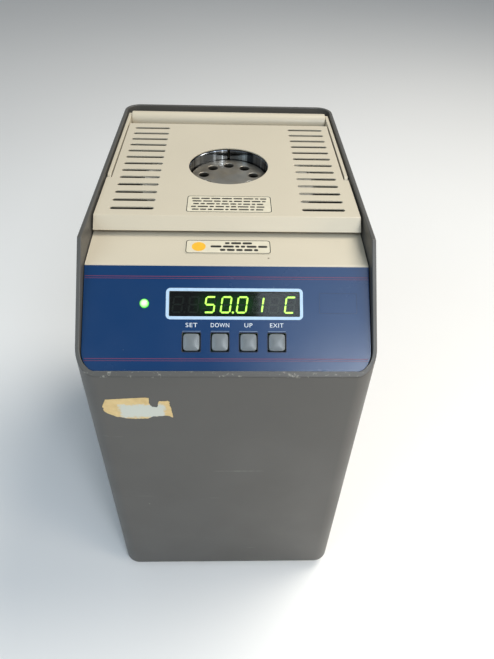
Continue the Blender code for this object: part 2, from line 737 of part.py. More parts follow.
def make_fan():
    """Square fan frame with a motor plate on struts, and its bladed rotor."""
    front = REAR_FACE_Y - SHEET - GAP - FAN_DEPTH
    frame = rear_box(
        "fan_frame", (0, FAN_Z), (FAN_SIZE, FAN_SIZE), front, front + FAN_DEPTH, BLACK_PLASTIC, radius=0.003,
        segments=2,
    )
    combine(frame, rod(
        "fan_bore_cutter", (0, front - 0.01, FAN_Z), FAN_DEPTH + 0.02, FAN_RADIUS, axis="Y",
        sides=ROUND_SIDES, cutter=True,
    ))
    combine(frame, rod(
        "fan_motor_plate", (0, front, FAN_Z), FAN_PLATE, FAN_HUB, axis="Y", cutter=True
    ), "UNION")
    for index in range(FAN_STRUTS):
        half = FAN_PLATE / 2
        tip = (FAN_RADIUS + 0.001, half, FAN_PLATE)
        strut = box(f"fan_strut_{index + 1}", (0, -half, 0), tip, cutter=True)
        strut.matrix_world = (
            Matrix.Translation((0, front, FAN_Z))
            @ Matrix.Rotation(2 * pi / FAN_STRUTS * (index + 0.5), 4, "Y") @ Matrix.Rotation(-pi / 2, 4, "X")
        )
        combine(frame, strut, "UNION")
    start = front + FAN_PLATE + 0.0005
    hub_depth = FAN_DEPTH - 2 * FAN_PLATE - 0.0005
    rotor = rod(
        "fan_rotor", (0, 0, 0), hub_depth, FAN_HUB, BLACK_PLASTIC, axis="Y", sides=24,
        location=(0, start, FAN_Z),
    )
    for index in range(FAN_BLADES):
        blade = box(
            f"fan_blade_{index + 1}", (0.75 * FAN_HUB, -BLADE_THICK / 2, -BLADE_CHORD / 2),
            (FAN_RADIUS - 0.0015, BLADE_THICK / 2, BLADE_CHORD / 2), cutter=True,
        )
        blade.parent = rotor
        blade.matrix_basis = (
            Matrix.Translation((0, hub_depth / 2, 0)) @ Matrix.Rotation(2 * pi / FAN_BLADES * index, 4, "Y")
            @ Matrix.Rotation(BLADE_PITCH, 4, "X")
        )
        combine(rotor, blade, "UNION")
    make_fan_guard()


def make_fan_guard():
    """Rings of wire joined by two crossed bars."""
    half = GUARD_WIRE / 2
    y = REAR_FACE_Y + GAP + 0.0012
    reach = GUARD_OUTER - half + 0.0001
    guard = rear_box("fan_guard", (0, FAN_Z), (GUARD_WIRE, 2 * reach), y - half, y + half, PLATED_STEEL)
    cross = rear_box("guard_cross", (0, FAN_Z), (2 * reach, GUARD_WIRE), y - half, y + half, cutter=True)
    combine(guard, cross, "UNION")
    for index in range(GUARD_RINGS):
        outer = GUARD_OUTER - GUARD_RING_STEP * index
        inner = outer - GUARD_WIRE
        band = turned(
            f"guard_ring_{index + 1}", [(outer, half), (outer, -half), (inner, -half), (inner, half)], None,
            (0, y, FAN_Z), sides=32, cutter=True,
        )
        band.rotation_euler = (pi / 2, 0, 0)
        combine(guard, band, "UNION")


def make_mains_inlet():
    """Appliance inlet: a flanged body with a socket and three blades."""
    face = REAR_FACE_Y + FLANGE_PROUD
    centre = (INLET_X, SERVICE_Z)
    inlet = rear_box(
        "power_inlet", centre, INLET_BODY, REAR_FACE_Y - INLET_BEHIND, REAR_FACE_Y + 0.001, BLACK_PLASTIC
    )
    combine(inlet, rear_box(
        "inlet_flange", centre, INLET_FLANGE, REAR_FACE_Y + GAP, face, radius=0.002, cutter=True
    ), "UNION")
    floor = face - SOCKET_DEPTH
    combine(inlet, rear_box(
        "inlet_socket_cutter", centre, INLET_SOCKET, floor, face + 0.01, radius=0.002, segments=2, cutter=True
    ))
    half_x, half_z = BLADE_SIZE[0] / 2, BLADE_SIZE[1] / 2
    builder = bmesh.new()
    for across, up in BLADE_PLACES:
        x, z = INLET_X + across, SERVICE_Z + up
        tip = (x + half_x, floor + BLADE_LENGTH, z + half_z)
        grow_box(builder, (x - half_x, floor - 0.001, z - half_z), tip)
    combine(inlet, place(builder, "inlet_blades", None, cutter=True), "UNION")


def make_fuse():
    """Panel fuse holder with a slotted bayonet cap."""
    face = REAR_FACE_Y + FLANGE_PROUD
    holder = rod(
        "fuse_holder", (FUSE_X, REAR_FACE_Y - FUSE_BEHIND, SERVICE_Z), FUSE_BEHIND + 0.0005, FUSE_BODY_RADIUS,
        BLACK_PLASTIC, axis="Y",
    )
    combine(holder, rod(
        "fuse_ring", (FUSE_X, REAR_FACE_Y + GAP, SERVICE_Z), FLANGE_PROUD - GAP, FUSE_RING_RADIUS, axis="Y",
        cutter=True,
    ), "UNION")
    combine(holder, rod(
        "fuse_bore_cutter", (FUSE_X, REAR_FACE_Y - FUSE_BORE_DEPTH, SERVICE_Z), 2 * FUSE_BORE_DEPTH,
        FUSE_BORE, axis="Y", cutter=True,
    ))
    start = REAR_FACE_Y - FUSE_BORE_DEPTH + 0.0010
    head_start = face + GAP - start
    cap = rod(
        "fuse_cap", (0, 0, 0), head_start + 0.0007, FUSE_CAP_RADIUS, BLACK_PLASTIC, axis="Y",
        location=(FUSE_X, start, SERVICE_Z),
    )
    combine(cap, rod(
        "fuse_cap_head", (0, head_start, 0), FUSE_HEAD, FUSE_HEAD_RADIUS, axis="Y", parent=cap, cutter=True
    ), "UNION")
    long, wide = FUSE_SLOT
    slot_floor = head_start + FUSE_HEAD - 0.0013
    combine(cap, box(
        "fuse_slot_cutter", (-long / 2, slot_floor, -wide / 2), (long / 2, slot_floor + 0.01, wide / 2),
        parent=cap, cutter=True,
    ))


def make_switch():
    """Rocker switch, at rest tilted to its on side."""
    face = REAR_FACE_Y + FLANGE_PROUD
    centre = (SWITCH_X, SERVICE_Z)
    frame = rear_box(
        "power_switch_frame", centre, SWITCH_BODY, REAR_FACE_Y - SWITCH_BEHIND, REAR_FACE_Y + 0.001,
        BLACK_PLASTIC,
    )
    combine(frame, rear_box(
        "switch_flange", centre, SWITCH_FLANGE, REAR_FACE_Y + GAP, face, radius=0.001, segments=2, cutter=True
    ), "UNION")
    combine(frame, rear_box(
        "switch_recess_cutter", centre, SWITCH_RECESS, face - RECESS_DEPTH, face + 0.01, cutter=True
    ))
    end, rise = ROCKER_END, ROCKER_END * tan(ROCKER_TILT)
    rocker = outline_solid(
        "power_switch_rocker",
        [(0.0025, 0), (0.0025 + rise, end), (-0.0010, end), (-0.0050, 0.0030), (-0.0050, -0.0030),
         (-0.0010, -end), (0.0025 + rise, -end)],
        -ROCKER_HALF, ROCKER_HALF, KEY_GREY, location=(SWITCH_X, face - 0.0020, SERVICE_Z),
    )
    rocker.rotation_euler = (ROCKER_TILT, 0, 0)


def make_serial():
    """Nine-way serial connector: body, flange and shell."""
    centre = (SERIAL_X, SERIAL_Z)
    serial = rear_box(
        "serial_connector", centre, SERIAL_BODY, REAR_FACE_Y - 0.008, REAR_FACE_Y + 0.001, PLATED_STEEL
    )
    combine(serial, rear_box(
        "serial_flange", centre, SERIAL_FLANGE, REAR_FACE_Y + GAP, REAR_FACE_Y + 0.0012, cutter=True
    ), "UNION")
    combine(serial, rear_box(
        "serial_shell", centre, SERIAL_SHELL, REAR_FACE_Y - 0.002, REAR_FACE_Y + SERIAL_PROUD, radius=0.002,
        cutter=True,
    ), "UNION")


def make_handle():
    """Folding handle: two flat arms and a round grip on two pivot screws."""
    pivot = empty("handle_pivot", (0, PIVOT_Y, PIVOT_Z))
    grip_y, grip_z = GRIP_Y - PIVOT_Y, GRIP_Z - PIVOT_Z
    rod(
        "handle_grip", (-ARM_INNER + GAP, grip_y, grip_z), 2 * (ARM_INNER - GAP), GRIP_RADIUS, CREAM_PAINT,
        axis="X", sides=24, parent=pivot,
    )
    half = ARM_HALF_HEIGHT
    for side, name in ((-1, "left"), (1, "right")):
        low, high = sorted((side * ARM_INNER, side * (ARM_INNER + ARM_THICK)))
        arm = box(
            f"handle_arm_{name}", (low, -half, -half), (high, grip_y + half, half), CREAM_PAINT,
            radius=half * 0.98, along=0, segments=6, parent=pivot,
        )
        inner = ARM_INNER - 0.0020
        combine(arm, rod(
            f"arm_hole_cutter_{name}", (side * inner, 0, 0), side * 0.01, PIVOT_PIN + GAP, axis="X",
            parent=pivot, cutter=True,
        ))
        screw = rod(
            f"handle_pivot_{name}", (side * inner, PIVOT_Y, PIVOT_Z), side * (WIDTH / 2 - inner - 0.0001),
            PIVOT_PIN, PLATED_STEEL, axis="X",
        )
        combine(screw, rod(
            f"pivot_head_{name}", (side * (inner + 0.0002), PIVOT_Y, PIVOT_Z), side * 0.0015, PIVOT_HEAD,
            axis="X", cutter=True,
        ), "UNION")


PANEL_FRAME = empty("panel_frame", PANEL_TOP, (PANEL_ANGLE, 0, 0))

make_wrap()
make_base()
make_chassis()
make_front()
make_cover()
make_well()
make_electronics()
make_rear()
make_handle()
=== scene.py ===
"""Looks for the dry block heater: fine shells, printed panel, polished well and worn paint."""

import json
import random
from math import atan2, cos, pi, radians, sin, tan

import bmesh
import bpy
from mathutils import Matrix, Vector, noise


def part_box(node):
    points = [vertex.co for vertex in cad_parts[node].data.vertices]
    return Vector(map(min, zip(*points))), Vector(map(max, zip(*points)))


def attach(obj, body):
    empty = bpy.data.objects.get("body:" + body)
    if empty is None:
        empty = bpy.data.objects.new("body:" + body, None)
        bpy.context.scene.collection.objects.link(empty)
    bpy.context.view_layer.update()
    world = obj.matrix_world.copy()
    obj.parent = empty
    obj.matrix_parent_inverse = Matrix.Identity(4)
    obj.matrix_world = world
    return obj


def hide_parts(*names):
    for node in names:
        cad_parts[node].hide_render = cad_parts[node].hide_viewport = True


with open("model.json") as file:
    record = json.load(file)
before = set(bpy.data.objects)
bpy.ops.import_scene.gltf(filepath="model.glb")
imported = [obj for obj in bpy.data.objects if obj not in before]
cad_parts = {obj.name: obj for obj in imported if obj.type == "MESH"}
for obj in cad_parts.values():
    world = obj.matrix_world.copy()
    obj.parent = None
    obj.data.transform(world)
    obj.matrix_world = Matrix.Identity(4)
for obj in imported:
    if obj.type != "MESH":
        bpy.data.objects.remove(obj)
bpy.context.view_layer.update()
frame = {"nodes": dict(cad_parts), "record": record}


def at(x, y, z, **turns):
    """A place in space, turned about each named axis in the order given."""
    place = Matrix.Translation((x, y, z))
    for axis, angle in turns.items():
        place @= Matrix.Rotation(angle, 4, axis)
    return place


# ---- sizes, in metres, in the frame's axes

SHELL_LOW, SHELL_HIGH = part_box("outer_shell")
FRONT_Y, BACK_Y = SHELL_LOW.y, SHELL_HIGH.y
HALF = SHELL_HIGH.x
WALL = 0.0025
CORNER = 0.012
RIM_TOP = 0.2438
SLOPE_TOP_Y = -0.0733
INNER_HALF = HALF - WALL
INNER_Y = BACK_Y - WALL
PIVOT_HOLE = 0.0046

PANEL_TOP = Vector((0, -0.0792, 0.2841))
PANEL_BOTTOM = Vector((0, -0.1267, 0.244))
PANEL_ANGLE = atan2(PANEL_TOP.z - PANEL_BOTTOM.z, PANEL_TOP.y - PANEL_BOTTOM.y)
PANEL_LENGTH = (PANEL_TOP - PANEL_BOTTOM).length
PANEL_HALF = INNER_HALF - 0.0006
ON_PANEL = at(*PANEL_TOP, X=PANEL_ANGLE)
FILM = 0.00018
FILM_TOP_Y = -0.0009
PRINT = 0.00003
LEDGE_ANGLE = radians(5)
SHEET = 0.0015
COVER_SHEET = 0.001

# places on the panel, in its own axes: across, and down from its upper fold
WINDOW, WINDOW_HALF, WINDOW_CORNER = (0.0041, -0.0232), (0.0379, 0.0074), 0.0006
WINDOW_BORDER = 0.0018
LAMP, LAMP_RADIUS = (-0.048, -0.0232), 0.0026
BLANK, BLANK_HALF = (0.0643, -0.0226), (0.011, 0.006)
STRIPES = ((0.0072, 0.00032), (0.0084, 0.00022), (0.0551, 0.00032), (0.0563, 0.00022))
KEY_FIRST_X, KEY_PITCH, KEY_Y, KEY_NAME_Y = -0.02065, 0.01637, -0.0456, -0.0358
KEY_HALF, KEY_HOLE_HALF, KEY_HOLE_CORNER = (0.0047, 0.0049), (0.00525, 0.00545), 0.0005
KEY_NAMES = ("set", "down", "up", "exit")
KEY_NAME_SIZE, KEY_NAME_WIDTHS = 0.0035, (0.0068, 0.0106, 0.0046, 0.0078)
KEY_CENTRES = [(KEY_FIRST_X + KEY_PITCH * index, KEY_Y) for index in range(len(KEY_NAMES))]

DIGIT_FIRST_X, DIGIT_PITCH, DIGIT_Y = -0.0289, 0.00935, -0.0234
DIGIT_HALF, DIGIT_SLANT, STROKE = (0.00265, 0.00455), radians(8), 0.00098
SEGMENTS = {"5": "afgcd", "0": "abcdef", "1": "bc", "C": "adef", " ": ""}
SHOWN = "  50.01 C"
SEGMENT_ENDS = {
    "a": ((-1, 1), (1, 1)), "b": ((1, 1), (1, 0)), "c": ((1, 0), (1, -1)), "d": ((-1, -1), (1, -1)),
    "e": ((-1, 0), (-1, -1)), "f": ((-1, 1), (-1, 0)), "g": ((-1, 0), (1, 0)),
}
MODULE_LOW, MODULE_FACE = -0.0092, -0.0024
GLOW_X, GLOW_HALF = -0.0005, (0.02, 0.0075)

COVER_LOW, COVER_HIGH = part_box("top_cover")
COVER_TOP = COVER_HIGH.z
COVER_FRONT_Y, COVER_BACK_Y = -0.045, 0.0965
NOTCH_HALF, NOTCH_Y = 0.079, 0.0035
GRIP_TRAY_Z = 0.2805
SLOT_COUNT, SLOT_FIRST_Y, SLOT_PITCH = 13, -0.0365, 0.01024
SLOT_SPAN, SLOT_WIDTH = (0.0465, 0.0737), 0.0032

COLLAR_LOW, COLLAR_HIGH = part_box("well_collar")
INSERT_LOW, INSERT_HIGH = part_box("well_insert")
WELL_Y = (INSERT_LOW.y + INSERT_HIGH.y) / 2
AT_WELL = at(0, WELL_Y, 0)
COVER_HOLE = 0.0279
COLLAR_INNER, COLLAR_OUTER, COLLAR_LIP, COLLAR_SLIT = 0.0278, 0.0298, 0.0004, 0.0009
PROBE_COUNT, PROBE_RING, PROBE_RADIUS, PROBE_DEPTH, PROBE_RIM = 9, 0.0181, 0.0036, 0.1, 0.0003

PIVOT_Y, PIVOT_Z = 0.0103, 0.29
ARM_LOW, ARM_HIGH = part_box("handle_arm_right")
GRIP_LOW, GRIP_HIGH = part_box("handle_grip")

REAR_LOW, REAR_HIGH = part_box("rear_panel")
REAR_FACE_Y = BACK_Y - 0.007
REAR_LIP = 0.004
FLANGE_Y = REAR_FACE_Y + 0.0022
SEAT_Y = REAR_FACE_Y + 0.0003
INLET_X, FUSE_X, SWITCH_X, SERVICE_Z = -0.035, 0.001, 0.035, 0.06
SERIAL_X, SERIAL_Z = 0.03, 0.213
RATING_X, RATING_HALF = -0.028, (0.024, 0.015)
FAN_LOW, FAN_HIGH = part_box("fan_frame")
FAN_Z = (FAN_LOW.z + FAN_HIGH.z) / 2
FAN_BORE, FAN_SCREW, FAN_HUB, BLADE_COUNT = 0.0375, 0.03575, 0.016, 7
FAN_CORNERS = [(x * FAN_SCREW, FAN_Z + z * FAN_SCREW) for x, z in ((-1, -1), (1, -1), (1, 1), (-1, 1))]
GUARD_WIRE, GUARD_RING, GUARD_STEP = 0.0009, 0.0385, 0.009
SIDES = ((-1, "left"), (1, "right"))

SCRATCH_X, SCRATCH_Z = 0.008, 0.1476

LOOKS = bpy.data.collections.new("looks")
SCRAP = bpy.data.collections.new("scrap")
for collection in (LOOKS, SCRAP):
    bpy.context.scene.collection.children.link(collection)


# ---- materials

def srgb(red, green, blue):
    """An 8-bit display colour as linear light."""
    def one(value):
        value /= 255
        return value / 12.92 if value <= 0.04045 else ((value + 0.055) / 1.055) ** 2.4
    return (one(red), one(green), one(blue), 1)


def brighter(colour, factor):
    return tuple(min(1, value * factor) for value in colour[:3]) + (1,)


MATERIALS = {}
PAPER_GRAIN = (1800, 5, 0.7, 0.00006)


class Finish:
    """A Principled material with short calls for the nodes that feed it.

    mottle is (scale, depth) of a drift of tone, gloss is (scale, low, high) of the roughness and
    grain is (scale, detail, roughness, depth) of a fine bump.
    """

    def __init__(self, name, colour, roughness, metallic=0.0, mottle=None, gloss=None, grain=None, **sockets):
        MATERIALS[name] = made = bpy.data.materials.new(name)
        made.use_nodes = True
        self.tree = made.node_tree
        self.shader = self.tree.nodes["Principled BSDF"]
        self.under = colour
        self.set("Base Color", colour)
        self.set("Roughness", roughness)
        self.set("Metallic", metallic)
        for socket, value in sockets.items():
            self.set(socket.replace("_", " "), value)
        self.place = self.node("TexCoord", {})["Object"]
        if mottle:
            scale, depth = mottle
            self.under = brighter(colour, 1 - depth)
            self.lay_over(self.patches(scale), brighter(colour, 1 + depth))
        if gloss:
            self.set("Roughness", self.patches(*gloss))
        if grain:
            self.bump(self.noise(*grain[:3]), grain[3])

    def node(self, kind, inputs, **settings):
        """Add a node; inputs maps its sockets, by name or number, to values or to other sockets."""
        made = self.tree.nodes.new("ShaderNode" + kind)
        for key, value in settings.items():
            setattr(made, key, value)
        for socket, value in inputs.items():
            self.join(made.inputs[socket], value)
        return made.outputs

    def join(self, socket, value):
        if isinstance(value, bpy.types.NodeSocket):
            self.tree.links.new(value, socket)
        else:
            socket.default_value = value

    def set(self, socket, value):
        self.join(self.shader.inputs[socket], value)

    def stretch(self, scale):
        return self.node("Mapping", {"Vector": self.place, "Scale": scale})["Vector"]

    def noise(self, scale, detail=3.0, rough=0.5, place=None):
        inputs = {"Vector": place or self.place, "Scale": scale, "Detail": detail, "Roughness": rough}
        return self.node("TexNoise", inputs)["Fac"]

    def patches(self, scale, to_low=0.0, to_high=1.0):
        return self.between(self.noise(scale, 4), 0.3, 0.7, to_low, to_high)

    def specks(self, scale, rim, core, crowd, few, many):
        """Dots of a cell pattern, only where a wider noise gathers them."""
        dots = self.node("TexVoronoi", {"Vector": self.place, "Scale": scale})["Distance"]
        return self.times(self.between(dots, rim, core), self.between(self.noise(crowd, 1), few, many))

    def between(self, value, low, high, to_low=0.0, to_high=1.0):
        return self.node("MapRange", dict(enumerate((value, low, high, to_low, to_high))))["Result"]

    def math(self, operation, first, second=0.0, clamp=False):
        return self.node("Math", {0: first, 1: second}, operation=operation, use_clamp=clamp)["Value"]

    def times(self, result, *shares):
        for share in shares:
            result = self.math("MULTIPLY", result, share, clamp=True)
        return result

    def mix(self, amount, first, second):
        return self.node("Mix", {0: amount, 6: first, 7: second}, data_type="RGBA")[2]

    def axis(self, index):
        return self.node("SeparateXYZ", {"Vector": self.place})[index]

    def away(self, index, middle):
        """Distance along one axis from a middle."""
        return self.math("ABSOLUTE", self.math("ADD", self.axis(index), -middle))

    def length(self, place):
        return self.node("VectorMath", {0: place}, operation="LENGTH")["Value"]

    def bump(self, height, distance):
        inputs = {"Height": height, "Distance": distance, "Strength": 1.0}
        self.set("Normal", self.node("Bump", inputs)["Normal"])

    def lay_over(self, amount, colour):
        """Lay a second colour over what is there, where amount is 1."""
        self.under = self.mix(amount, self.under, colour)
        self.set("Base Color", self.under)


def powder_coat(name, colour, roughness, drift=0.05, scale=1500, depth=0.00005):
    """Powder coat: a fine orange-peel skin with slow drifts of tone."""
    gloss = (25, roughness - 0.05, roughness + 0.06)
    return Finish(name, colour, roughness, 0.0, (9, drift), gloss, (scale, 2, 0.5, depth))


def grey_paint():
    """Dark powder coat with a chipped rim, grime, scuffs, one long scratch and specks."""
    coat = powder_coat("grey_paint", srgb(81, 79, 75), 0.43, 0.08)
    slope = (SHELL_HIGH.z - RIM_TOP) / (SLOPE_TOP_Y - FRONT_Y)
    normal = Vector((0, -slope, 1)).normalized()
    rim = normal.dot(Vector((0, SLOPE_TOP_Y, SHELL_HIGH.z)))
    height = coat.node("VectorMath", {0: coat.place, 1: normal}, operation="DOT_PRODUCT")["Value"]
    near_rim = coat.between(height, rim - 0.0016, rim - 0.0002)
    low_front = coat.between(coat.axis(2), RIM_TOP + 0.006, RIM_TOP + 0.001)
    chips = coat.between(coat.noise(420, 3, 0.6), 0.6, 0.66)
    coat.lay_over(coat.times(near_rim, low_front, chips), srgb(176, 172, 160))
    coat.lay_over(coat.between(coat.noise(6, 5, 0.6), 0.48, 0.72, 0.0, 0.45), srgb(74, 72, 66))
    scuffs = coat.between(coat.noise(70, 2, 0.5, coat.stretch((0.35, 1, 6))), 0.71, 0.73, 0, 0.5)
    scuff_zone = coat.between(coat.noise(14, 1), 0.54, 0.62)
    coat.lay_over(coat.times(scuffs, scuff_zone), srgb(140, 139, 134))
    thin = coat.between(coat.away(2, SCRATCH_Z), 0.0004, 0.0001)
    short = coat.between(coat.away(0, SCRATCH_X), 0.018, 0.012)
    front = coat.between(coat.axis(1), FRONT_Y + 0.003, FRONT_Y + 0.002)
    broken = coat.between(coat.noise(260, 2), 0.35, 0.6, 0.1, 0.6)
    coat.lay_over(coat.times(thin, short, front, broken), srgb(150, 150, 144))
    coat.lay_over(coat.specks(60, 0.03, 0.018, 30, 0.62, 0.64), srgb(165, 162, 150))


def cream_paint():
    coat = powder_coat("cream_paint", srgb(203, 192, 170), 0.36, 0.03, 1100, 0.00007)
    coat.lay_over(coat.specks(26, 0.0165, 0.01, 18, 0.5, 0.52), srgb(96, 84, 66))


def blue_film():
    film = Finish("blue_film", srgb(3, 50, 95), 0.25, mottle=(14, 0.05), gloss=(40, 0.21, 0.28),
                  grain=(2600, 2, 0.5, 0.00002), Specular_IOR_Level=0.5)
    film.lay_over(film.specks(160, 0.04, 0.02, 45, 0.63, 0.65), srgb(120, 140, 160))


def lit(name, colour, strength):
    glow = Finish(name, colour, 0.35)
    glow.lay_over(glow.between(glow.noise(900, 1), 0.2, 0.8, 0.9, 1.1), brighter(colour, 1.1))
    glow.set("Emission Color", colour)
    glow.set("Emission Strength", strength)


def plastic(name, colour, roughness):
    gloss = (120, roughness - 0.04, roughness + 0.05)
    Finish(name, colour, roughness, 0.0, (60, 0.06), gloss, (1800, 2, 0.5, 0.00002))


def polished_steel():
    """Bright bore: dark and bright bands round it, painted reflections of the surroundings, and faint rings along
    it.
    """
    steel = Finish("stainless", srgb(128, 132, 138), 0.14, 1.0, mottle=(30, 0.06))
    painted_reflection_streaks = steel.noise(150, 2, 0.6, steel.stretch((1, 1, 0)))
    # the dark and bright bluish bands laid into the colour here are painted reflections of the surroundings
    steel.lay_over(steel.between(painted_reflection_streaks, 0.46, 0.36), srgb(52, 55, 60))
    steel.lay_over(steel.between(painted_reflection_streaks, 0.55, 0.62), srgb(218, 226, 238))
    rings = steel.noise(160, 3, 0.6, steel.stretch((1, 1, 14)))
    steel.set("Roughness", steel.between(rings, 0.3, 0.7, 0.08, 0.2))
    steel.bump(rings, 0.000008)


def turned_metal():
    """Lathe-turned metal: fine rings about the well's axis, a slight heat tint, and painted shade inside the
    wells.
    """
    metal = Finish("block_metal", srgb(168, 164, 155), 0.4, 0.9, mottle=(70, 0.08), gloss=(120, 0.34, 0.5))
    wave = {"Vector": metal.place, "Scale": 700, "Distortion": 1.5}
    metal.bump(metal.node("TexWave", wave, wave_type="RINGS", rings_direction="Z")["Fac"], 0.000006)
    metal.lay_over(metal.between(metal.noise(45, 4, 0.6), 0.4, 0.72, 0, 0.5), srgb(158, 136, 98))
    from_axis = metal.length(metal.stretch((1, 1, 0)))
    # painted shade: inside the rim, the colour goes from just below the top to nearly black 3 mm down the probe
    # wells
    inward = metal.between(from_axis, INSERT_HIGH.x - 0.0008, INSERT_HIGH.x - 0.0014)
    sunk = metal.between(metal.axis(2), INSERT_HIGH.z - 0.0003, INSERT_HIGH.z - 0.003, 0, 0.93)
    metal.lay_over(metal.times(inward, sunk), srgb(20, 19, 18))


def circuit_board():
    board = Finish("circuit_board", srgb(24, 84, 48), 0.35, mottle=(300, 0.2))
    tracks = board.node("TexBrick", {"Vector": board.place, "Scale": 260, "Mortar Size": 0.06})["Fac"]
    board.lay_over(board.between(tracks, 0.4, 0.6, 0, 0.5), srgb(60, 130, 80))
    board.bump(tracks, 0.00003)


def copper_wire():
    wire = Finish("copper", srgb(170, 88, 48), 0.35, 1.0, mottle=(100, 0.1))
    wire.bump(wire.node("TexWave", {"Vector": wire.place, "Scale": 300}, bands_direction="Z")["Fac"], 0.0003)


def window_glass():
    pane = Finish("dark_window", srgb(120, 130, 128), 0.06, Transmission_Weight=1.0, IOR=1.49)
    tone = pane.between(pane.noise(60, 2), 0.3, 0.7)
    pane.set("Base Color", pane.mix(tone, srgb(112, 124, 122), srgb(128, 138, 134)))


def lamp_lens():
    """A lit lens: nearly white in the middle, deep green at the rim."""
    lens = Finish("green_lens", srgb(60, 230, 70), 0.15)
    middle = lens.between(lens.length(lens.place), LAMP_RADIUS, LAMP_RADIUS * 0.45)
    lens.set("Base Color", lens.mix(middle, srgb(40, 190, 40), srgb(170, 255, 150)))
    lens.set("Emission Color", lens.mix(middle, srgb(40, 160, 4), srgb(236, 255, 214)))
    lens.set("Emission Strength", 1.5)


def module_face():
    """The dark face behind the window, faintly green where light spills from the lit digits."""
    face = Finish("module_face", srgb(14, 17, 16), 0.5, mottle=(200, 0.1))
    across = face.between(face.away(0, GLOW_X), GLOW_HALF[0], GLOW_HALF[0] * 0.55)
    glow = face.times(across, face.between(face.away(1, WINDOW[1]), GLOW_HALF[1], 0))
    face.set("Emission Color", face.mix(glow, (0, 0, 0, 1), srgb(10, 150, 0)))
    face.set("Emission Strength", 0.7)


def paper(name, colour, stain):
    sheet = Finish(name, colour, 0.8, mottle=(300, 0.05), grain=PAPER_GRAIN)
    sheet.lay_over(sheet.between(sheet.noise(120, 5, 0.65), 0.45, 0.7, 0, 0.4), stain)


def sticker_paper():
    """Old label stock: tan at the edges, paler in the middle where its top layer is gone."""
    stock = Finish("sticker_stock", srgb(224, 196, 140), 0.8, mottle=(300, 0.06), grain=PAPER_GRAIN)
    stock.lay_over(stock.between(stock.noise(90, 5, 0.65), 0.45, 0.7, 0, 0.5), srgb(198, 162, 104))
    ragged = stock.between(stock.noise(420, 4, 0.7), 0.3, 0.7, -0.0014, 0.0014)
    along = stock.math("SUBTRACT", 0.0142, stock.away(0, 0.0232))
    up = stock.math("SUBTRACT", 0.0066, stock.away(1, 0.0072))
    inside = stock.between(stock.math("ADD", stock.math("MINIMUM", along, up), ragged), 0.0, 0.0016)
    stock.lay_over(inside, srgb(206, 208, 196))


for finish in (grey_paint, cream_paint, blue_film, window_glass, lamp_lens, module_face, polished_steel,
               turned_metal, circuit_board, copper_wire, sticker_paper):
    finish()
powder_coat("rear_paint", srgb(92, 92, 90), 0.5)
plastic("key_grey", srgb(112, 118, 121), 0.3)
plastic("switch_black", srgb(26, 26, 27), 0.35)
plastic("black_plastic", srgb(28, 28, 29), 0.5)
Finish("plated_steel", srgb(170, 172, 172), 0.34, 1.0, (90, 0.12), (200, 0.28, 0.46), (900, 3, 0.5, 0.00001))
Finish("fibre", srgb(222, 218, 206), 0.95, mottle=(200, 0.15), grain=(900, 6, 0.7, 0.0004), Sheen_Weight=0.4)
Finish("rubber", srgb(34, 34, 35), 0.75, mottle=(120, 0.2), grain=(1500, 4, 0.5, 0.00006))
Finish("floor", srgb(243, 242, 240), 0.8, mottle=(2, 0.01))
lit("segment_lit", srgb(200, 255, 100), 8.5)
# the unlit segments get a faint emission as well: a painted glow standing in for light scattered onto them from
# the lit ones
lit("segment_dark", srgb(120, 132, 118), 0.08)
paper("label_stock", srgb(212, 203, 180), srgb(200, 188, 160))
paper("rating_label", srgb(200, 202, 200), srgb(180, 182, 180))
# the dim blue colour is no ink but a painted highlight, used for the lines over the key openings
for name, *colour in (
    ("pale_blue", 178, 204, 226), ("white", 218, 226, 232), ("red", 116, 42, 68), ("faint_blue", 6, 24, 54),
    ("painted_highlight_blue", 128, 148, 168), ("black", 36, 34, 30), ("amber", 236, 178, 46),
):
    Finish(f"ink_{name}", srgb(*colour), 0.45, mottle=(400, 0.05))


# ---- mesh tools

SPREAD = {"X": lambda a, b, h: (h, a, b), "Y": lambda a, b, h: (a, h, b), "Z": lambda a, b, h: (a, b, h)}


def rounded(half_x, half_y, radius, centre=(0, 0), arc=8):
    """Points round a rectangle with round corners, anticlockwise."""
    radius = min(radius, half_x, half_y)
    points = []
    for quarter, (side_x, side_y) in enumerate(((1, 1), (-1, 1), (-1, -1), (1, -1))):
        for step in range(arc + 1):
            angle = pi / 2 * (quarter + step / arc)
            points.append((
                centre[0] + side_x * (half_x - radius) + radius * cos(angle),
                centre[1] + side_y * (half_y - radius) + radius * sin(angle),
            ))
    return points


def circle(radius, sides=48, centre=(0, 0)):
    return [
        (centre[0] + radius * cos(2 * pi * step / sides), centre[1] + radius * sin(2 * pi * step / sides))
        for step in range(sides)
    ]


def bend(first, last, step):
    """Cosine and sine of each angle, in degrees, from first to last."""
    return [(cos(radians(angle)), sin(radians(angle))) for angle in range(first, last, step)]


def oblong(left, low, right, high):
    return [(left, low), (right, low), (right, high), (left, high)]


def loft(loops, builder=None, ends=True, ring=False):
    """Skin between loops of 3D points that have the same count."""
    if builder is None:
        builder = bmesh.new()
    rows = [[builder.verts.new(point) for point in loop] for loop in loops]
    for low, high in list(zip(rows, rows[1:])) + ([(rows[-1], rows[0])] if ring else []):
        for index in range(len(low)):
            after = (index + 1) % len(low)
            builder.faces.new((low[index], low[after], high[after], high[index]))
    if ends and not ring:
        builder.faces.new(rows[0][::-1])
        builder.faces.new(rows[-1])
    return builder


def bars(outlines, low, high, axis="Z", builder=None):
    """Flat outlines drawn out along an axis."""
    for outline in outlines:
        builder = loft([[SPREAD[axis](a, b, h) for a, b in outline] for h in (low, high)], builder)
    return builder


def bar(outline, low, high, axis="Z"):
    return bars([outline], low, high, axis)


def band(outer, inner, low, high, axis="Z"):
    """A closed band between two outlines."""
    edges = ((outer, low), (outer, high), (inner, high), (inner, low))
    return loft([[SPREAD[axis](a, b, h) for a, b in edge] for edge, h in edges], ring=True)


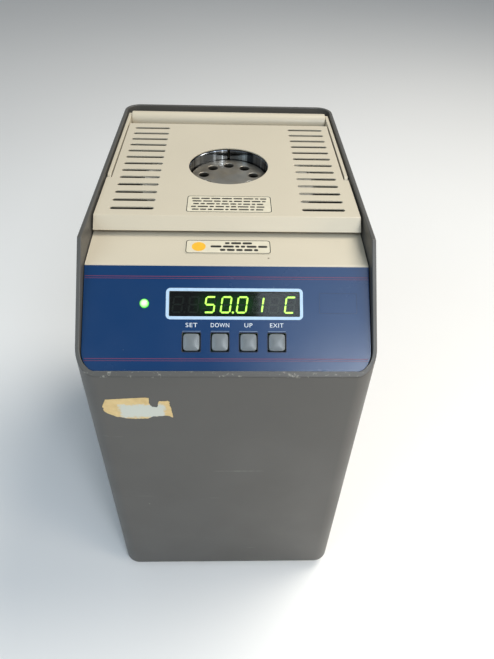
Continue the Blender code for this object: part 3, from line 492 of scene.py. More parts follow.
def revolve(profile, sides=96, centre=(0, 0, 0), builder=None):
    """A closed (radius, height) profile turned about Z; points on the axis become caps."""
    middle = Vector(centre)
    off_axis = [point for point in profile if point[0] > 1e-7]
    loops = [[middle + Vector((x, y, z)) for x, y in circle(radius, sides)] for radius, z in off_axis]
    whole = len(off_axis) == len(profile)
    return loft(loops, builder, ends=not whole, ring=whole)


def fillet(corner, radius, start, end, steps):
    """Points of an arc that rounds a corner; start and end are directions away from it."""
    first, last = start.normalized(), end.normalized()
    half = first.angle(last) / 2
    run = radius / tan(half)
    centre = corner + (first + last).normalized() * (radius / sin(half))
    start, end = corner + first * run - centre, corner + last * run - centre
    return [tuple(centre + start.slerp(end, step / steps) * radius) for step in range(steps + 1)]


def round_path(path, radius, steps=6):
    """A path of 2D points with each inner corner rounded."""
    points = [tuple(path[0])]
    for before, corner, after in zip(path, path[1:], path[2:]):
        corner = Vector(corner)
        points += fillet(corner, radius, Vector(before) - corner, Vector(after) - corner, steps)
    return points + [tuple(path[-1])]


def placed(mesh, name, place):
    item = bpy.data.objects.new(name, mesh)
    if place is not None:
        item.matrix_world = place
    SCRAP.objects.link(item)
    return item


def solid(builder, name, place=None):
    bmesh.ops.recalc_face_normals(builder, faces=builder.faces)
    mesh = bpy.data.meshes.new(name)
    builder.to_mesh(mesh)
    builder.free()
    return placed(mesh, name, place)


def evaluated(item):
    bpy.context.view_layer.update()
    return bpy.data.meshes.new_from_object(item.evaluated_get(bpy.context.evaluated_depsgraph_get()))


def settle(item):
    """Apply an object's modifiers to its mesh."""
    mesh = evaluated(item)
    item.modifiers.clear()
    item.data = mesh


def cut(item, builder, place=None, operation="DIFFERENCE"):
    """Cut with another closed shape, which is used up."""
    other = solid(builder, "cutter", place)
    change = item.modifiers.new("combine", "BOOLEAN")
    change.operation, change.solver, change.object = operation, "EXACT", other
    settle(item)
    bpy.data.objects.remove(other)


def join(item, builder, place=None):
    cut(item, builder, place, "UNION")


def soften(item, width, segments=2, angle=32):
    """Round an object's sharp edges."""
    edge = item.modifiers.new("edge", "BEVEL")
    edge.width, edge.segments, edge.limit_method = width, segments, "ANGLE"
    edge.angle_limit = radians(angle)
    settle(item)


def piece(item, slot, node=None, body="housing", finish=None, smooth=40):
    """Finish a piece: slot, the CAD node it stands for, body, and a finish other than the slot's."""
    SCRAP.objects.unlink(item)
    LOOKS.objects.link(item)
    item.data.materials.clear()
    item.data.materials.append(MATERIALS[finish or slot])
    item.data.shade_smooth()
    item.data.set_sharp_from_angle(angle=radians(smooth))
    even = item.modifiers.new("even_normals", "WEIGHTED_NORMAL")
    even.weight, even.keep_sharp = 100, True
    settle(item)
    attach(item, body)
    if node:
        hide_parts(node)


def folded_sheet(name, path, half_width, thickness):
    """A folded sheet whose upper face follows a path in the YZ plane."""
    under = []
    for index, point in enumerate(path):
        run = (Vector(path[min(index + 1, len(path) - 1)]) - Vector(path[max(index - 1, 0)])).normalized()
        under.append(tuple(Vector(point) + Vector((run.y, -run.x)) * thickness))
    return solid(bar(list(path) + under[::-1], -half_width, half_width, "X"), name)


# ---- outer shell, bezel and film

def make_shell():
    """The grey wrap, with its sloped cut, rear window and pivot holes."""
    low, high = SHELL_LOW.z, SHELL_HIGH.z
    outer = rounded(HALF, BACK_Y, CORNER, arc=12)
    inner = rounded(INNER_HALF, INNER_Y, CORNER - WALL, arc=12)
    shell = solid(band(outer, inner, low, high), "shell_wrap")
    rise = (high - RIM_TOP) / (SLOPE_TOP_Y - FRONT_Y - WALL / 2)
    reach = 0.02
    wedge = [
        (FRONT_Y - reach, RIM_TOP - (reach + WALL / 2) * rise), (SLOPE_TOP_Y + reach / rise, high + reach),
        (FRONT_Y - reach, high + reach),
    ]
    cut(shell, bar(wedge, -2 * HALF, 2 * HALF, "X"))
    middle = ((REAR_LOW.x + REAR_HIGH.x) / 2, (REAR_LOW.z + REAR_HIGH.z) / 2)
    half = ((REAR_HIGH.x - REAR_LOW.x) / 2 - REAR_LIP, (REAR_HIGH.z - REAR_LOW.z) / 2 - REAR_LIP)
    cut(shell, bar(rounded(*half, 0.004, middle), BACK_Y - 0.01, BACK_Y + 0.01, "Y"))
    for side, _ in SIDES:
        cut(shell, bar(circle(PIVOT_HOLE, 32, (PIVOT_Y, PIVOT_Z)), side * 0.08, side * 0.09, "X"))
    soften(shell, 0.00055, 3)
    piece(shell, "grey_paint", "outer_shell")


def inside_prism():
    """The space inside the wrap, as a cutting shape."""
    return bar(rounded(PANEL_HALF, INNER_Y - 0.0005, 0.0091, arc=12), 0.1, 0.4)


def panel_openings():
    """Window, lamp and key openings as one cutting shape."""
    outlines = [rounded(*WINDOW_HALF, WINDOW_CORNER, WINDOW), circle(LAMP_RADIUS + 0.0002, 40, LAMP)]
    outlines += [rounded(*KEY_HOLE_HALF, KEY_HOLE_CORNER, centre, arc=4) for centre in KEY_CENTRES]
    return bars(outlines, -0.02, 0.02)


def make_bezel():
    """Cream folded sheet: flange, slope and ledge, with soft folds."""
    under = Vector((0, sin(PANEL_ANGLE), -cos(PANEL_ANGLE))) * FILM
    top, bottom = PANEL_TOP + under, PANEL_BOTTOM + under
    wall_y = FRONT_Y + WALL + 0.0006
    knee_z = bottom.z + (wall_y - bottom.y) * tan(PANEL_ANGLE)
    back_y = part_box("front_panel")[1].y
    ledge_z = top.z + (back_y - top.y) * tan(LEDGE_ANGLE)
    path = round_path(
        [(wall_y, knee_z - 0.014), (wall_y, knee_z), (top.y, top.z), (back_y, ledge_z), (back_y, ledge_z - 0.012)],
        0.0016,
    )
    bezel = folded_sheet("bezel", path, INNER_HALF, SHEET)
    cut(bezel, inside_prism(), None, "INTERSECT")
    cut(bezel, panel_openings(), ON_PANEL)
    soften(bezel, 0.0002)
    piece(bezel, "cream_paint", "front_panel")


def make_film():
    """Blue printed film on the slope."""
    sheet = bar(oblong(-INNER_HALF, -PANEL_LENGTH, INNER_HALF, FILM_TOP_Y), -FILM * 0.9, 0)
    film = solid(sheet, "blue_film", ON_PANEL)
    cut(film, inside_prism(), None, "INTERSECT")
    cut(film, panel_openings(), ON_PANEL)
    piece(film, "blue_film", "panel_overlay")


def printed(name, outline, ink, hole=None, lift=0.0):
    """A flat mark printed on the film, raised by the thickness of its ink."""
    low = 0.000005 + lift
    mark = band(outline, hole, low, low + PRINT) if hole else bar(outline, low, low + PRINT)
    piece(solid(mark, name, ON_PANEL), "blue_film", finish=ink)


def lettering(name, words, width, place):
    """Raised ink letters of the given width, centred on a place on the panel."""
    text = bpy.data.curves.new(name, "FONT")
    text.body, text.size = words, KEY_NAME_SIZE
    text.align_x, text.align_y = "CENTER", "CENTER"
    text.space_character = 1.12
    text.extrude = PRINT / 2
    item = placed(text, name, None)
    mesh = evaluated(item)
    bpy.data.objects.remove(item)
    reach = [vert.co.x for vert in mesh.vertices]
    middle, stretch = (min(reach) + max(reach)) / 2, width / (max(reach) - min(reach))
    mesh.transform(Matrix.Diagonal((stretch, 1, 1, 1)) @ at(-middle, 0, 0))
    piece(placed(mesh, name, ON_PANEL @ at(*place)), "blue_film", finish="ink_white")


def make_prints():
    """Pinstripes, the window's frame, key names and the faint blank on the right."""
    stripe_half = PANEL_HALF - 0.0004
    for index, (down, thick) in enumerate(STRIPES):
        width = stripe_half if index < 2 else stripe_half - 0.0012
        line = oblong(-width, -down - thick / 2, width, -down + thick / 2)
        printed(f"pinstripe_{index + 1}", line, "ink_red")
    border = rounded(WINDOW_HALF[0] + WINDOW_BORDER, WINDOW_HALF[1] + WINDOW_BORDER, 0.0026, WINDOW)
    printed("window_border", border, "ink_pale_blue", rounded(*WINDOW_HALF, WINDOW_CORNER, WINDOW))
    blank_hole = rounded(BLANK_HALF[0] - 0.00015, BLANK_HALF[1] - 0.00015, 0.0002, BLANK, 3)
    printed("right_blank", rounded(*BLANK_HALF, 0.0003, BLANK, 3), "ink_faint_blue", blank_hole)
    half_x, half_y = KEY_HOLE_HALF
    for name, width, (x, y) in zip(KEY_NAMES, KEY_NAME_WIDTHS, KEY_CENTRES):
        lettering(f"key_name_{name}", name.upper(), width, (x, KEY_NAME_Y, PRINT))
        # a pale line along the top edge of each key opening: a painted highlight where light catches the border's
        # edge
        line = rounded(half_x, 0.00011, 0.0001, (x, y + half_y + 0.0009), 2)
        printed(f"painted_key_highlight_{name}", line, "ink_painted_highlight_blue", lift=PRINT)
        border = rounded(half_x + 0.0004, half_y + 0.0004, 0.0008, (x, y), 4)
        hole = rounded(half_x, half_y, KEY_HOLE_CORNER, (x, y), 4)
        printed(f"key_border_{name}", border, "ink_faint_blue", hole)


# ---- display, lamp and keys

def segment_outline(segment, x, y):
    """A six-sided bar of a seven-segment digit, slanted to the right."""
    half_x, half_y = DIGIT_HALF
    start, end = (Vector((across * half_x, up * half_y)) for across, up in SEGMENT_ENDS[segment])
    along = (end - start).normalized()
    side = Vector((-along.y, along.x)) * STROKE / 2
    start, end = start + along * STROKE * 0.18, end - along * STROKE * 0.18
    inset = along * STROKE / 2
    points = [start, start + inset - side, end - inset - side, end, end - inset + side, start + inset + side]
    return [(x + point.x + point.y * tan(DIGIT_SLANT), y + point.y) for point in points]


def make_display():
    """Window pane, module face and eight seven-segment digits, some of them lit."""
    half_x, half_y = WINDOW_HALF
    pane = solid(bar(rounded(half_x - 0.0003, half_y - 0.0003, 0.0005, WINDOW), -0.0016, -0.0002),
                     "display_pane", ON_PANEL)
    soften(pane, 0.00012, 1)
    piece(pane, "dark_window", "display_window")
    body = bar(rounded(half_x - 0.0009, half_y - 0.0005, 0.0004, WINDOW), MODULE_LOW, MODULE_FACE)
    piece(solid(body, "digit_module", ON_PANEL), "black_plastic", "display_module", finish="module_face")

    cells = []
    for mark in SHOWN:
        if mark == ".":
            cells[-1] = (cells[-1][0], True)
        else:
            cells.append((mark, False))
    shapes = {True: [], False: []}
    for index, (mark, dotted) in enumerate(cells):
        x = DIGIT_FIRST_X + DIGIT_PITCH * index
        for segment in "abcdefg":
            shapes[segment in SEGMENTS[mark]].append(segment_outline(segment, x, DIGIT_Y))
        shapes[dotted].append(circle(STROKE * 0.62, 20, (x + DIGIT_PITCH * 0.42, DIGIT_Y - DIGIT_HALF[1])))
    for shown, name, slot in ((True, "lit", "green_lens"), (False, "dark", "black_plastic")):
        segments = bars(shapes[shown], MODULE_FACE + 0.00002, MODULE_FACE + 0.00012)
        piece(solid(segments, f"segments_{name}", ON_PANEL), slot, finish=f"segment_{name}")


def make_lamp():
    dome = [(LAMP_RADIUS * out, -0.0004 + 0.002 * up) for out, up in bend(84, -1, -12)]
    lens = revolve([(0, 0.0016)] + dome + [(LAMP_RADIUS, -0.0058), (0, -0.0058)], 40)
    piece(solid(lens, "indicator_lens", ON_PANEL @ at(*LAMP, 0)), "green_lens", "indicator_lamp")


def cushion(scale, height, corner, count=56):
    """One ring of a pillow-shaped key cap, with superellipse corners."""
    ring = []
    for step in range(count):
        angle = 2 * pi * step / count
        across, up = cos(angle), sin(angle)
        reach = (abs(across) ** corner + abs(up) ** corner) ** (-1 / corner)
        ring.append((KEY_HALF[0] * scale * reach * across, KEY_HALF[1] * scale * reach * up, height))
    return ring


def make_keys():
    """Four cushion-topped keys, each on its own body."""
    cap_low, cap_top, shoulder = -0.0042, 0.0014, 0.0004
    rings = [cushion(1.0, cap_low, 6), cushion(1.0, shoulder - 0.0003, 6)]
    rings += [cushion(0.92 + 0.08 * out, shoulder - 0.0003 + 0.0006 * up, 5.6) for out, up in bend(0, 91, 15)]
    for scale in (0.84, 0.72, 0.58, 0.42, 0.25, 0.08):
        crown = shoulder + 0.0003 + (cap_top - shoulder - 0.0003) * (1 - (scale / 0.92) ** 2.4)
        rings.append(cushion(scale, crown, 2 + 3.6 * scale))
    for name, centre in zip(KEY_NAMES, KEY_CENTRES):
        cap = solid(loft(rings), f"{name}_keycap", ON_PANEL @ at(*centre, 0))
        piece(cap, "key_grey", f"{name}_key", f"{name}_button", smooth=50)


# ---- top cover, labels and handle

def make_cover():
    """Cream cover with its slots, notches, hole and the tray under the grip."""
    drop = (COVER_FRONT_Y - COVER_LOW.y) * 0.0065 / 0.0071
    path = round_path(
        [(COVER_LOW.y, COVER_TOP - drop), (COVER_FRONT_Y, COVER_TOP), (COVER_BACK_Y, COVER_TOP),
         (COVER_BACK_Y, GRIP_TRAY_Z), (COVER_HIGH.y, GRIP_TRAY_Z)],
        0.0018,
    )
    cover = folded_sheet("cover", path, COVER_HIGH.x, COVER_SHEET)
    past = COVER_HIGH.x + 0.01
    cuts = bmesh.new()
    for side, _ in SIDES:
        centre = (side * (NOTCH_HALF + past) / 2, NOTCH_Y + 0.08)
        notch = rounded((past - NOTCH_HALF) / 2, 0.08, 0.0004, centre, 3)
        bars([notch], 0.25, 0.32, builder=cuts)
        for row in range(SLOT_COUNT):
            centre = (side * sum(SLOT_SPAN) / 2, SLOT_FIRST_Y + SLOT_PITCH * row)
            half = ((SLOT_SPAN[1] - SLOT_SPAN[0]) / 2, SLOT_WIDTH / 2)
            bars([rounded(*half, half[1] * 0.98, centre, 6)], 0.288, 0.31, builder=cuts)
    bars([circle(COVER_HOLE, 112, (0, WELL_Y))], 0.288, 0.31, builder=cuts)
    cut(cover, cuts)
    soften(cover, 0.0003)
    piece(cover, "cream_paint", "top_cover")


def make_label(name, half_x, half_y, centre, lines, place, marked):
    """A thin label with a border line and rows of blank bars."""
    thick, line = 0.00008, 0.0005
    edge_x, edge_y = half_x - 0.0004, half_y - 0.0004
    stock = bar(rounded(half_x, half_y, 0.0022, centre), 0.00001, thick)
    piece(solid(stock, name, place), "cream_paint", finish="label_stock")
    outer = rounded(edge_x, edge_y, 0.0019, centre)
    inner = rounded(edge_x - line, edge_y - line, 0.0016, centre)
    low, high = thick + 0.000005, thick + 0.00003
    blanks = [
        rounded(half_width, half_height, half_height * 0.8, (centre[0] + x, centre[1] + y), 3)
        for x, y, half_width, half_height in lines
    ]
    marks = bars(blanks, low, high, builder=band(outer, inner, low, high))
    piece(solid(marks, f"{name}_marks", place), "cream_paint", finish="ink_black")
    if marked:
        badge = bar(circle(0.0042, 40, (centre[0] - half_x + 0.0082, centre[1])), low, high)
        piece(solid(badge, f"{name}_badge", place), "cream_paint", finish="ink_amber")


def words(reach, height, thick, seed):
    """A row of blank bars as long as words, as (across, up, half width, half height)."""
    chance = random.Random(seed)
    blanks, start = [], -reach
    while start < reach - 0.0012:
        length = min(chance.uniform(0.0022, 0.0068), reach - start)
        blanks.append((start + length / 2, height, length / 2, thick))
        start += length + 0.0009
    return blanks


def make_labels():
    """Blank stand-ins for the paper labels on the cover and the ledge."""
    rows = []
    for row in range(5):
        rows += words(0.024 - 0.0006 * (row % 3), 0.0068 - 0.0034 * row, 0.00072, 5 + row)
    make_label("cover_label", 0.0272, 0.0104, (0.0006, -0.0307), rows, at(0, 0, COVER_TOP), False)
    rows = [
        (0.0065 + x, y, half, height)
        for reach, down, seed in ((0.0085, 0.0034, 1), (0.0172, 0.0002, 2), (0.0115, -0.003, 3))
        for x, y, half, height in words(reach, down, 0.00095, seed)
    ]
    on_ledge = at(*PANEL_TOP, X=LEDGE_ANGLE)
    make_label("ledge_label", 0.026, 0.0066, (0.0002, 0.0164), rows, on_ledge, True)


def make_handle():
    """Two flat arms, the round grip and the pivot screws."""
    middle, half = (ARM_LOW + ARM_HIGH) / 2, (ARM_HIGH - ARM_LOW) / 2
    outline = rounded(half.y, half.z, half.z * 0.98, (middle.y, middle.z), 12)
    for side, name in SIDES:
        arm = solid(bar(outline, side * ARM_LOW.x, side * ARM_HIGH.x, "X"), f"arm_{name}")
        cut(arm, bar(circle(0.0026, 32, (PIVOT_Y, PIVOT_Z)), side * 0.07, side * 0.09, "X"))
        soften(arm, 0.00045, 3)
        piece(arm, "cream_paint", f"handle_arm_{name}", "handle")

    end, radius = GRIP_HIGH.x, (GRIP_HIGH.z - GRIP_LOW.z) / 2
    profile = [(0, end), (radius - 0.0007, end), (radius - 0.0002, end - 0.0002), (radius, end - 0.0008)]
    profile += [(point[0], -point[1]) for point in reversed(profile)]
    place = at(0, *((GRIP_LOW + GRIP_HIGH) / 2).yz, Y=pi / 2)
    piece(solid(revolve(profile, 48), "grip", place), "cream_paint", "handle_grip", "handle")

    for side, name in SIDES:
        low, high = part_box(f"handle_pivot_{name}")
        inner, outer = min(abs(low.x), abs(high.x)), HALF - 0.00035
        profile = [
            (0, outer), (0.0041, outer), (0.0044, outer - 0.0003), (0.0023, outer - 0.0024),
            (0.0023, inner + 0.0016), (0.004, inner + 0.0016), (0.0042, inner + 0.0012),
            (0.0042, inner + 0.0004), (0.0036, inner), (0, inner),
        ]
        place = at(0, PIVOT_Y, PIVOT_Z, Y=side * pi / 2)
        screw = solid(revolve(profile, 32), f"pivot_screw_{name}", place)
        cross(screw, rounded(0.0024, 0.00045, 0.0002, arc=2), outer - 0.0012, outer + 0.001, place, 0.4)
        piece(screw, "plated_steel", f"handle_pivot_{name}")


def cross(head, outline, low, high, place, first_turn):
    """Cut a cross recess into a screw's head."""
    for turn in (first_turn, first_turn + pi / 2):
        cut(head, bar(outline, low, high), place @ at(0, 0, 0, Z=turn))


# ---- well

def make_well():
    """Polished split collar and the insert with its chamfered probe wells."""
    low, high, lip = COLLAR_LOW.z, COLLAR_HIGH.z, COLLAR_LIP
    profile = [
        (COLLAR_INNER, low), (COLLAR_OUTER, low), (COLLAR_OUTER, high - lip), (COLLAR_OUTER - lip, high),
        (COLLAR_INNER + lip, high), (COLLAR_INNER, high - lip),
    ]
    collar = solid(revolve(profile, 128), "collar", AT_WELL)
    cut(collar, bar(oblong(-COLLAR_SLIT, 0, COLLAR_SLIT, 0.04), low - 0.01, high + 0.01), AT_WELL)
    piece(collar, "stainless", "well_collar")

    top, bottom = INSERT_HIGH.z, INSERT_LOW.z
    radius, edge = (INSERT_HIGH.x - INSERT_LOW.x) / 2, 0.0007
    profile = [(0, top), (radius - edge, top), (radius, top - edge),
               (radius, bottom + edge), (radius - edge, bottom), (0, bottom)]
    insert = solid(revolve(profile, 128), "insert", AT_WELL)
    well = [(0, top + 0.001), (PROBE_RADIUS + PROBE_RIM + 0.001, top + 0.001), (PROBE_RADIUS, top - PROBE_RIM),
            (PROBE_RADIUS, top - PROBE_DEPTH), (0, top - PROBE_DEPTH - 0.001)]
    wells = bmesh.new()
    for index in range(PROBE_COUNT):
        angle = pi / 2 + 2 * pi * index / PROBE_COUNT
        revolve(well, 36, (PROBE_RING * cos(angle), WELL_Y + PROBE_RING * sin(angle), 0), wells)
    cut(insert, wells)
    piece(insert, "block_metal", "well_insert", "insert")


# ---- rear panel and what it carries

def facing_back(x, y, z):
    """Turns a shape built along +Z to face out of the rear panel."""
    return at(x, y, z, X=-pi / 2)


def screw_head(name, place, radius=0.0028, height=0.0016):
    """A pan head with a cross recess."""
    crown = [(radius * out, height * (0.35 + 0.65 * up)) for up, out in bend(10, 91, 16)]
    head = solid(revolve([(0, height)] + crown + [(radius, 0), (0, 0)], 28), name, place)
    recess = rounded(radius * 0.55, radius * 0.13, radius * 0.05, arc=2)
    cross(head, recess, height * 0.45, height * 2, place, 0.3)
    piece(head, "plated_steel")


def make_rear_panel():
    """Sunk service panel: a painted tray with its openings, screws and a blank rating label."""
    middle = (0, (REAR_LOW.z + REAR_HIGH.z) / 2)
    half_x, half_z = REAR_HIGH.x, (REAR_HIGH.z - REAR_LOW.z) / 2
    outer = rounded(half_x, half_z, 0.003, middle)
    inner = rounded(half_x - SHEET, half_z - SHEET, 0.0015, middle)
    edges = ((outer, REAR_LOW.y), (outer, REAR_HIGH.y), (inner, REAR_HIGH.y), (inner, REAR_FACE_Y))
    panel = solid(loft([[(x, y, z) for x, z in outline] for outline, y in edges]), "service_panel")
    openings = [
        circle(0.037, 96, (0, FAN_Z)),
        rounded(0.0139, 0.0102, 0.0006, (INLET_X, SERVICE_Z), 3),
        rounded(0.0069, 0.0099, 0.0006, (SWITCH_X, SERVICE_Z), 3),
        circle(0.0066, 40, (FUSE_X, SERVICE_Z)),
        rounded(0.01, 0.0058, 0.001, (SERIAL_X, SERIAL_Z), 4),
    ]
    cut(panel, bars(openings, REAR_FACE_Y - 0.01, REAR_FACE_Y + 0.0005, "Y"))
    soften(panel, 0.0002)
    piece(panel, "rear_paint", "rear_panel")
    spots = [(x, z) for z in (0.0385, 0.135, 0.2315) for x in (-0.063, 0.063)]
    for index, (x, z) in enumerate(spots):
        screw_head(f"panel_screw_{index + 1}", facing_back(x, REAR_FACE_Y, z))


def make_rating_label():
    """Blank metallised label with ruled rows and no words."""
    place = at(RATING_X, REAR_FACE_Y, SERIAL_Z, X=pi / 2, Y=pi)
    (half_x, half_y), thick = RATING_HALF, 0.0001
    piece(solid(bar(rounded(half_x, half_y, 0.0015), 0.00001, thick), "rating_label", place), "rear_paint",
          finish="rating_label")
    rows = []
    for row in range(5):
        y = half_y - 0.0042 - 0.0052 * row
        for column, width in ((-1, 0.0075 - 0.0008 * (row % 2)), (1, 0.0085 - 0.0012 * (row % 3))):
            rows.append(rounded(width, 0.0007, 0.0004, (column * half_x * 0.47, y), 3))
    rows = bars(rows, thick + 0.000005, thick + 0.00003)
    piece(solid(rows, "rating_rows", place), "rear_paint", finish="ink_black")


def make_fan():
    """Square fan frame, and the wheel with its hub label and curved blades."""
    low, high = FAN_LOW.y, FAN_HIGH.y
    half = (FAN_HIGH.x - FAN_LOW.x) / 2
    outer, bore = rounded(half, half, 0.003, (0, FAN_Z), 15), circle(FAN_BORE, 64, (0, FAN_Z))
    housing = solid(band(outer, bore, low, high, "Y"), "fan_housing")
    holes = [circle(0.0021, 20, corner) for corner in FAN_CORNERS]
    cut(housing, bars(holes, low - 0.01, high + 0.01, "Y"))
    for index in range(4):
        strut = bar(oblong(0.006, -0.0015, FAN_BORE + 0.001, 0.0015), 0.0001, 0.003)
        join(housing, strut, at(0, low, FAN_Z, Y=pi / 2 * index + pi / 4, X=-pi / 2))
    plate = revolve([(0, 0.003), (0.0155, 0.003), (FAN_HUB, 0.0025), (FAN_HUB, 0), (0, 0)], 48)
    join(housing, plate, facing_back(0, low, FAN_Z))
    soften(housing, 0.0003)
    piece(housing, "black_plastic", "fan_frame")

    depth, start, edge = high - low - 0.0065, low + 0.0035, 0.0016
    rim = [(FAN_HUB - edge * (1 - out), depth - edge * (1 - up)) for out, up in bend(90, -1, -18)]
    place = facing_back(0, start, FAN_Z)
    wheel = solid(revolve([(0, depth)] + rim + [(FAN_HUB, 0), (0, 0)], 64), "fan_wheel", place)
    for index in range(BLADE_COUNT):
        join(wheel, fan_blade(depth), place @ at(0, 0, 0, Z=2 * pi * index / BLADE_COUNT))
    piece(wheel, "black_plastic", "fan_rotor", "fan_wheel", smooth=50)
    disc = revolve([(0, 0.00012), (0.0118, 0.00012), (0.012, 0.00001), (0, 0.00001)], 48)
    disc = solid(disc, "fan_hub_label", facing_back(0, start + depth, FAN_Z))
    piece(disc, "black_plastic", body="fan_wheel", finish="rating_label")


def fan_blade(depth, root=0.015, tip=FAN_BORE - 0.0015):
    """A twisted, swept blade lofted from hub to tip."""
    sections = []
    for step in range(9):
        share = step / 8
        radius = root + (tip - root) * share
        pitch = radians(50 - 20 * share)
        sweep = radians(-4 + 20 * share ** 1.4)
        half = min(0.0105, (depth - 0.0012) / 2 / sin(pitch) * 0.98)
        section = []
        for along, thick in circle(1, 16):
            rise = 0.0007 * thick + 0.0014 * (1 - along ** 2)
            up = half * along * sin(pitch) + rise * cos(pitch)
            angle = sweep + (half * along * cos(pitch) - rise * sin(pitch)) / radius
            section.append((radius * cos(angle), radius * sin(angle), depth / 2 + up))
        sections.append(section)
    return loft(sections)


def make_fan_guard():
    """Wire rings on a cross of wires, with an eye and a screw at each corner."""
    y = SEAT_Y + 0.0012
    place = facing_back(0, y, FAN_Z)
    rings = [circle(GUARD_WIRE, 10, (GUARD_RING - GUARD_STEP * index, 0))[::-1] for index in range(4)]
    guard = solid(revolve(rings[0], 72), "fan_finger_guard", place)
    for ring in rings[1:]:
        join(guard, revolve(ring, 72), place)
    reach = FAN_SCREW * 2 ** 0.5 - 0.0032
    for turn in (pi / 4, 3 * pi / 4):
        wire = bar(circle(GUARD_WIRE * 0.95, 10), -reach, reach)
        join(guard, wire, at(0, y - 0.0002, FAN_Z, Y=turn))
    eye = circle(GUARD_WIRE * 0.9, 10, (0.0033, 0))[::-1]
    for x, z in FAN_CORNERS:
        join(guard, revolve(eye, 28), facing_back(x, y - 0.0001, z))
    piece(guard, "plated_steel", "fan_guard", smooth=60)
    for index, (x, z) in enumerate(FAN_CORNERS):
        screw_head(f"fan_screw_{index + 1}", facing_back(x, y - 0.0002, z), 0.003, 0.0018)


def make_mains_inlet():
    """Appliance inlet with its shaped socket and three bright blades."""
    x, z = INLET_X, SERVICE_Z
    low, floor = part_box("power_inlet")[0].y, FLANGE_Y - 0.0165
    inlet = solid(bar(rounded(0.0136, 0.0099, 0.0008, (x, z), 3), low, SEAT_Y + 0.0004, "Y"), "inlet_body")
    join(inlet, bar(rounded(0.0158, 0.0125, 0.0024, (x, z), 6), SEAT_Y, FLANGE_Y, "Y"))
    half_x, half_z, slant = 0.0123, 0.0082, 0.0042
    mouth = [(x - half_x, z - half_z), (x + half_x, z - half_z), (x + half_x, z + half_z - slant),
             (x + half_x - slant, z + half_z), (x - half_x + slant, z + half_z), (x - half_x, z + half_z - slant)]
    cut(inlet, bar(mouth, floor, FLANGE_Y + 0.01, "Y"))
    soften(inlet, 0.0004, 3)
    piece(inlet, "black_plastic", "power_inlet")
    spots = ((x - 0.007, z - 0.002), (x + 0.007, z - 0.002), (x, z + 0.002))
    outlines = [rounded(0.001, 0.002, 0.0005, spot, 3) for spot in spots]
    blades = solid(bars(outlines, floor - 0.001, floor + 0.0105, "Y"), "inlet_blades")
    soften(blades, 0.0003)
    piece(blades, "plated_steel")


def make_fuse():
    """Fuse holder with its ring, and the slotted, ribbed carrier cap."""
    place = facing_back(FUSE_X, 0, SERVICE_Z)
    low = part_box("fuse_holder")[0].y
    profile = [
        (0, FLANGE_Y), (0.0084, FLANGE_Y), (0.0088, FLANGE_Y - 0.0004), (0.0088, SEAT_Y), (0.0063, SEAT_Y),
        (0.0063, low + 0.0004), (0.0059, low), (0, low),
    ]
    holder = solid(revolve(profile, 48), "fuse_body", place)
    bore = [(0, FLANGE_Y + 0.01), (0.005, FLANGE_Y + 0.01), (0.005, REAR_FACE_Y - 0.02), (0, 0)]
    cut(holder, revolve(bore, 48), place)
    piece(holder, "black_plastic", "fuse_holder")
    start, seat, radius, stem = REAR_FACE_Y - 0.019, FLANGE_Y + 0.0003, 0.0062, 0.0046
    top = seat + 0.0034
    profile = [(0, top), (radius - 0.0006, top), (radius, top - 0.0006), (radius, seat), (stem, seat),
               (stem, start), (0, start)]
    cap = solid(revolve(profile, 48), "fuse_cap_slotted", place)
    cut(cap, bar(rounded(0.0052, 0.0007, 0.0003, arc=2), seat + 0.0021, seat + 0.01), place)
    grooves = [circle(0.00045, 8, spot) for spot in circle(radius + 0.0001, 18)]
    cut(cap, bars(grooves, seat + 0.0007, seat + 0.01), place)
    piece(cap, "black_plastic", "fuse_cap", "fuse_carrier")


def make_switch():
    """Power switch: a bevelled frame and a curved rocker with its two marks."""
    x, z = SWITCH_X, SERVICE_Z
    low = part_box("power_switch_frame")[0].y
    switch = solid(bar(rounded(0.0066, 0.0096, 0.0006, (x, z), 3), low, SEAT_Y + 0.0004, "Y"), "switch_bezel")
    join(switch, bar(rounded(0.0077, 0.0108, 0.0014, (x, z), 5), SEAT_Y, FLANGE_Y, "Y"))
    cut(switch, bar(rounded(0.0054, 0.0088, 0.0004, (x, z), 3), FLANGE_Y - 0.0095, FLANGE_Y + 0.01, "Y"))
    soften(switch, 0.0003)
    piece(switch, "switch_black", "power_switch_frame")

    tilt, end, crest, half, mark_up = radians(12), 0.0076, 0.0025, 0.005, 0.0046
    rise = end * tan(tilt)
    face = []
    for step in range(17):
        up = end - 2 * end * step / 16
        face.append((crest + rise * (abs(up) / end) ** 1.5, up))
    outline = face + [(-0.001, -end), (-0.005, -0.003), (-0.005, 0.003), (-0.001, end)]
    place = at(x, FLANGE_Y - 0.002, z, X=tilt)
    rocker = solid(bar(outline, -half, half, "X"), "rocker", place)
    soften(rocker, 0.0003, angle=50)
    piece(rocker, "switch_black", "power_switch_rocker", "rocker")
    lift = crest + rise * (mark_up / end) ** 1.5
    slope = atan2(rise * 1.5 * (mark_up / end) ** 0.5, end)
    low, high = -0.00002, 0.00004
    bar_mark = bar(rounded(0.0002, 0.0014, 0.0002, arc=3), low, high)
    ring_mark = band(circle(0.0015, 32), circle(0.0011, 32), low, high)
    for name, mark, turn in (("on", bar_mark, 1), ("off", ring_mark, -1)):
        spot = place @ at(0, lift + 0.00002, turn * mark_up, X=-pi / 2 + turn * slope)
        piece(solid(mark, f"switch_mark_{name}", spot), "switch_black", body="rocker", finish="ink_white")


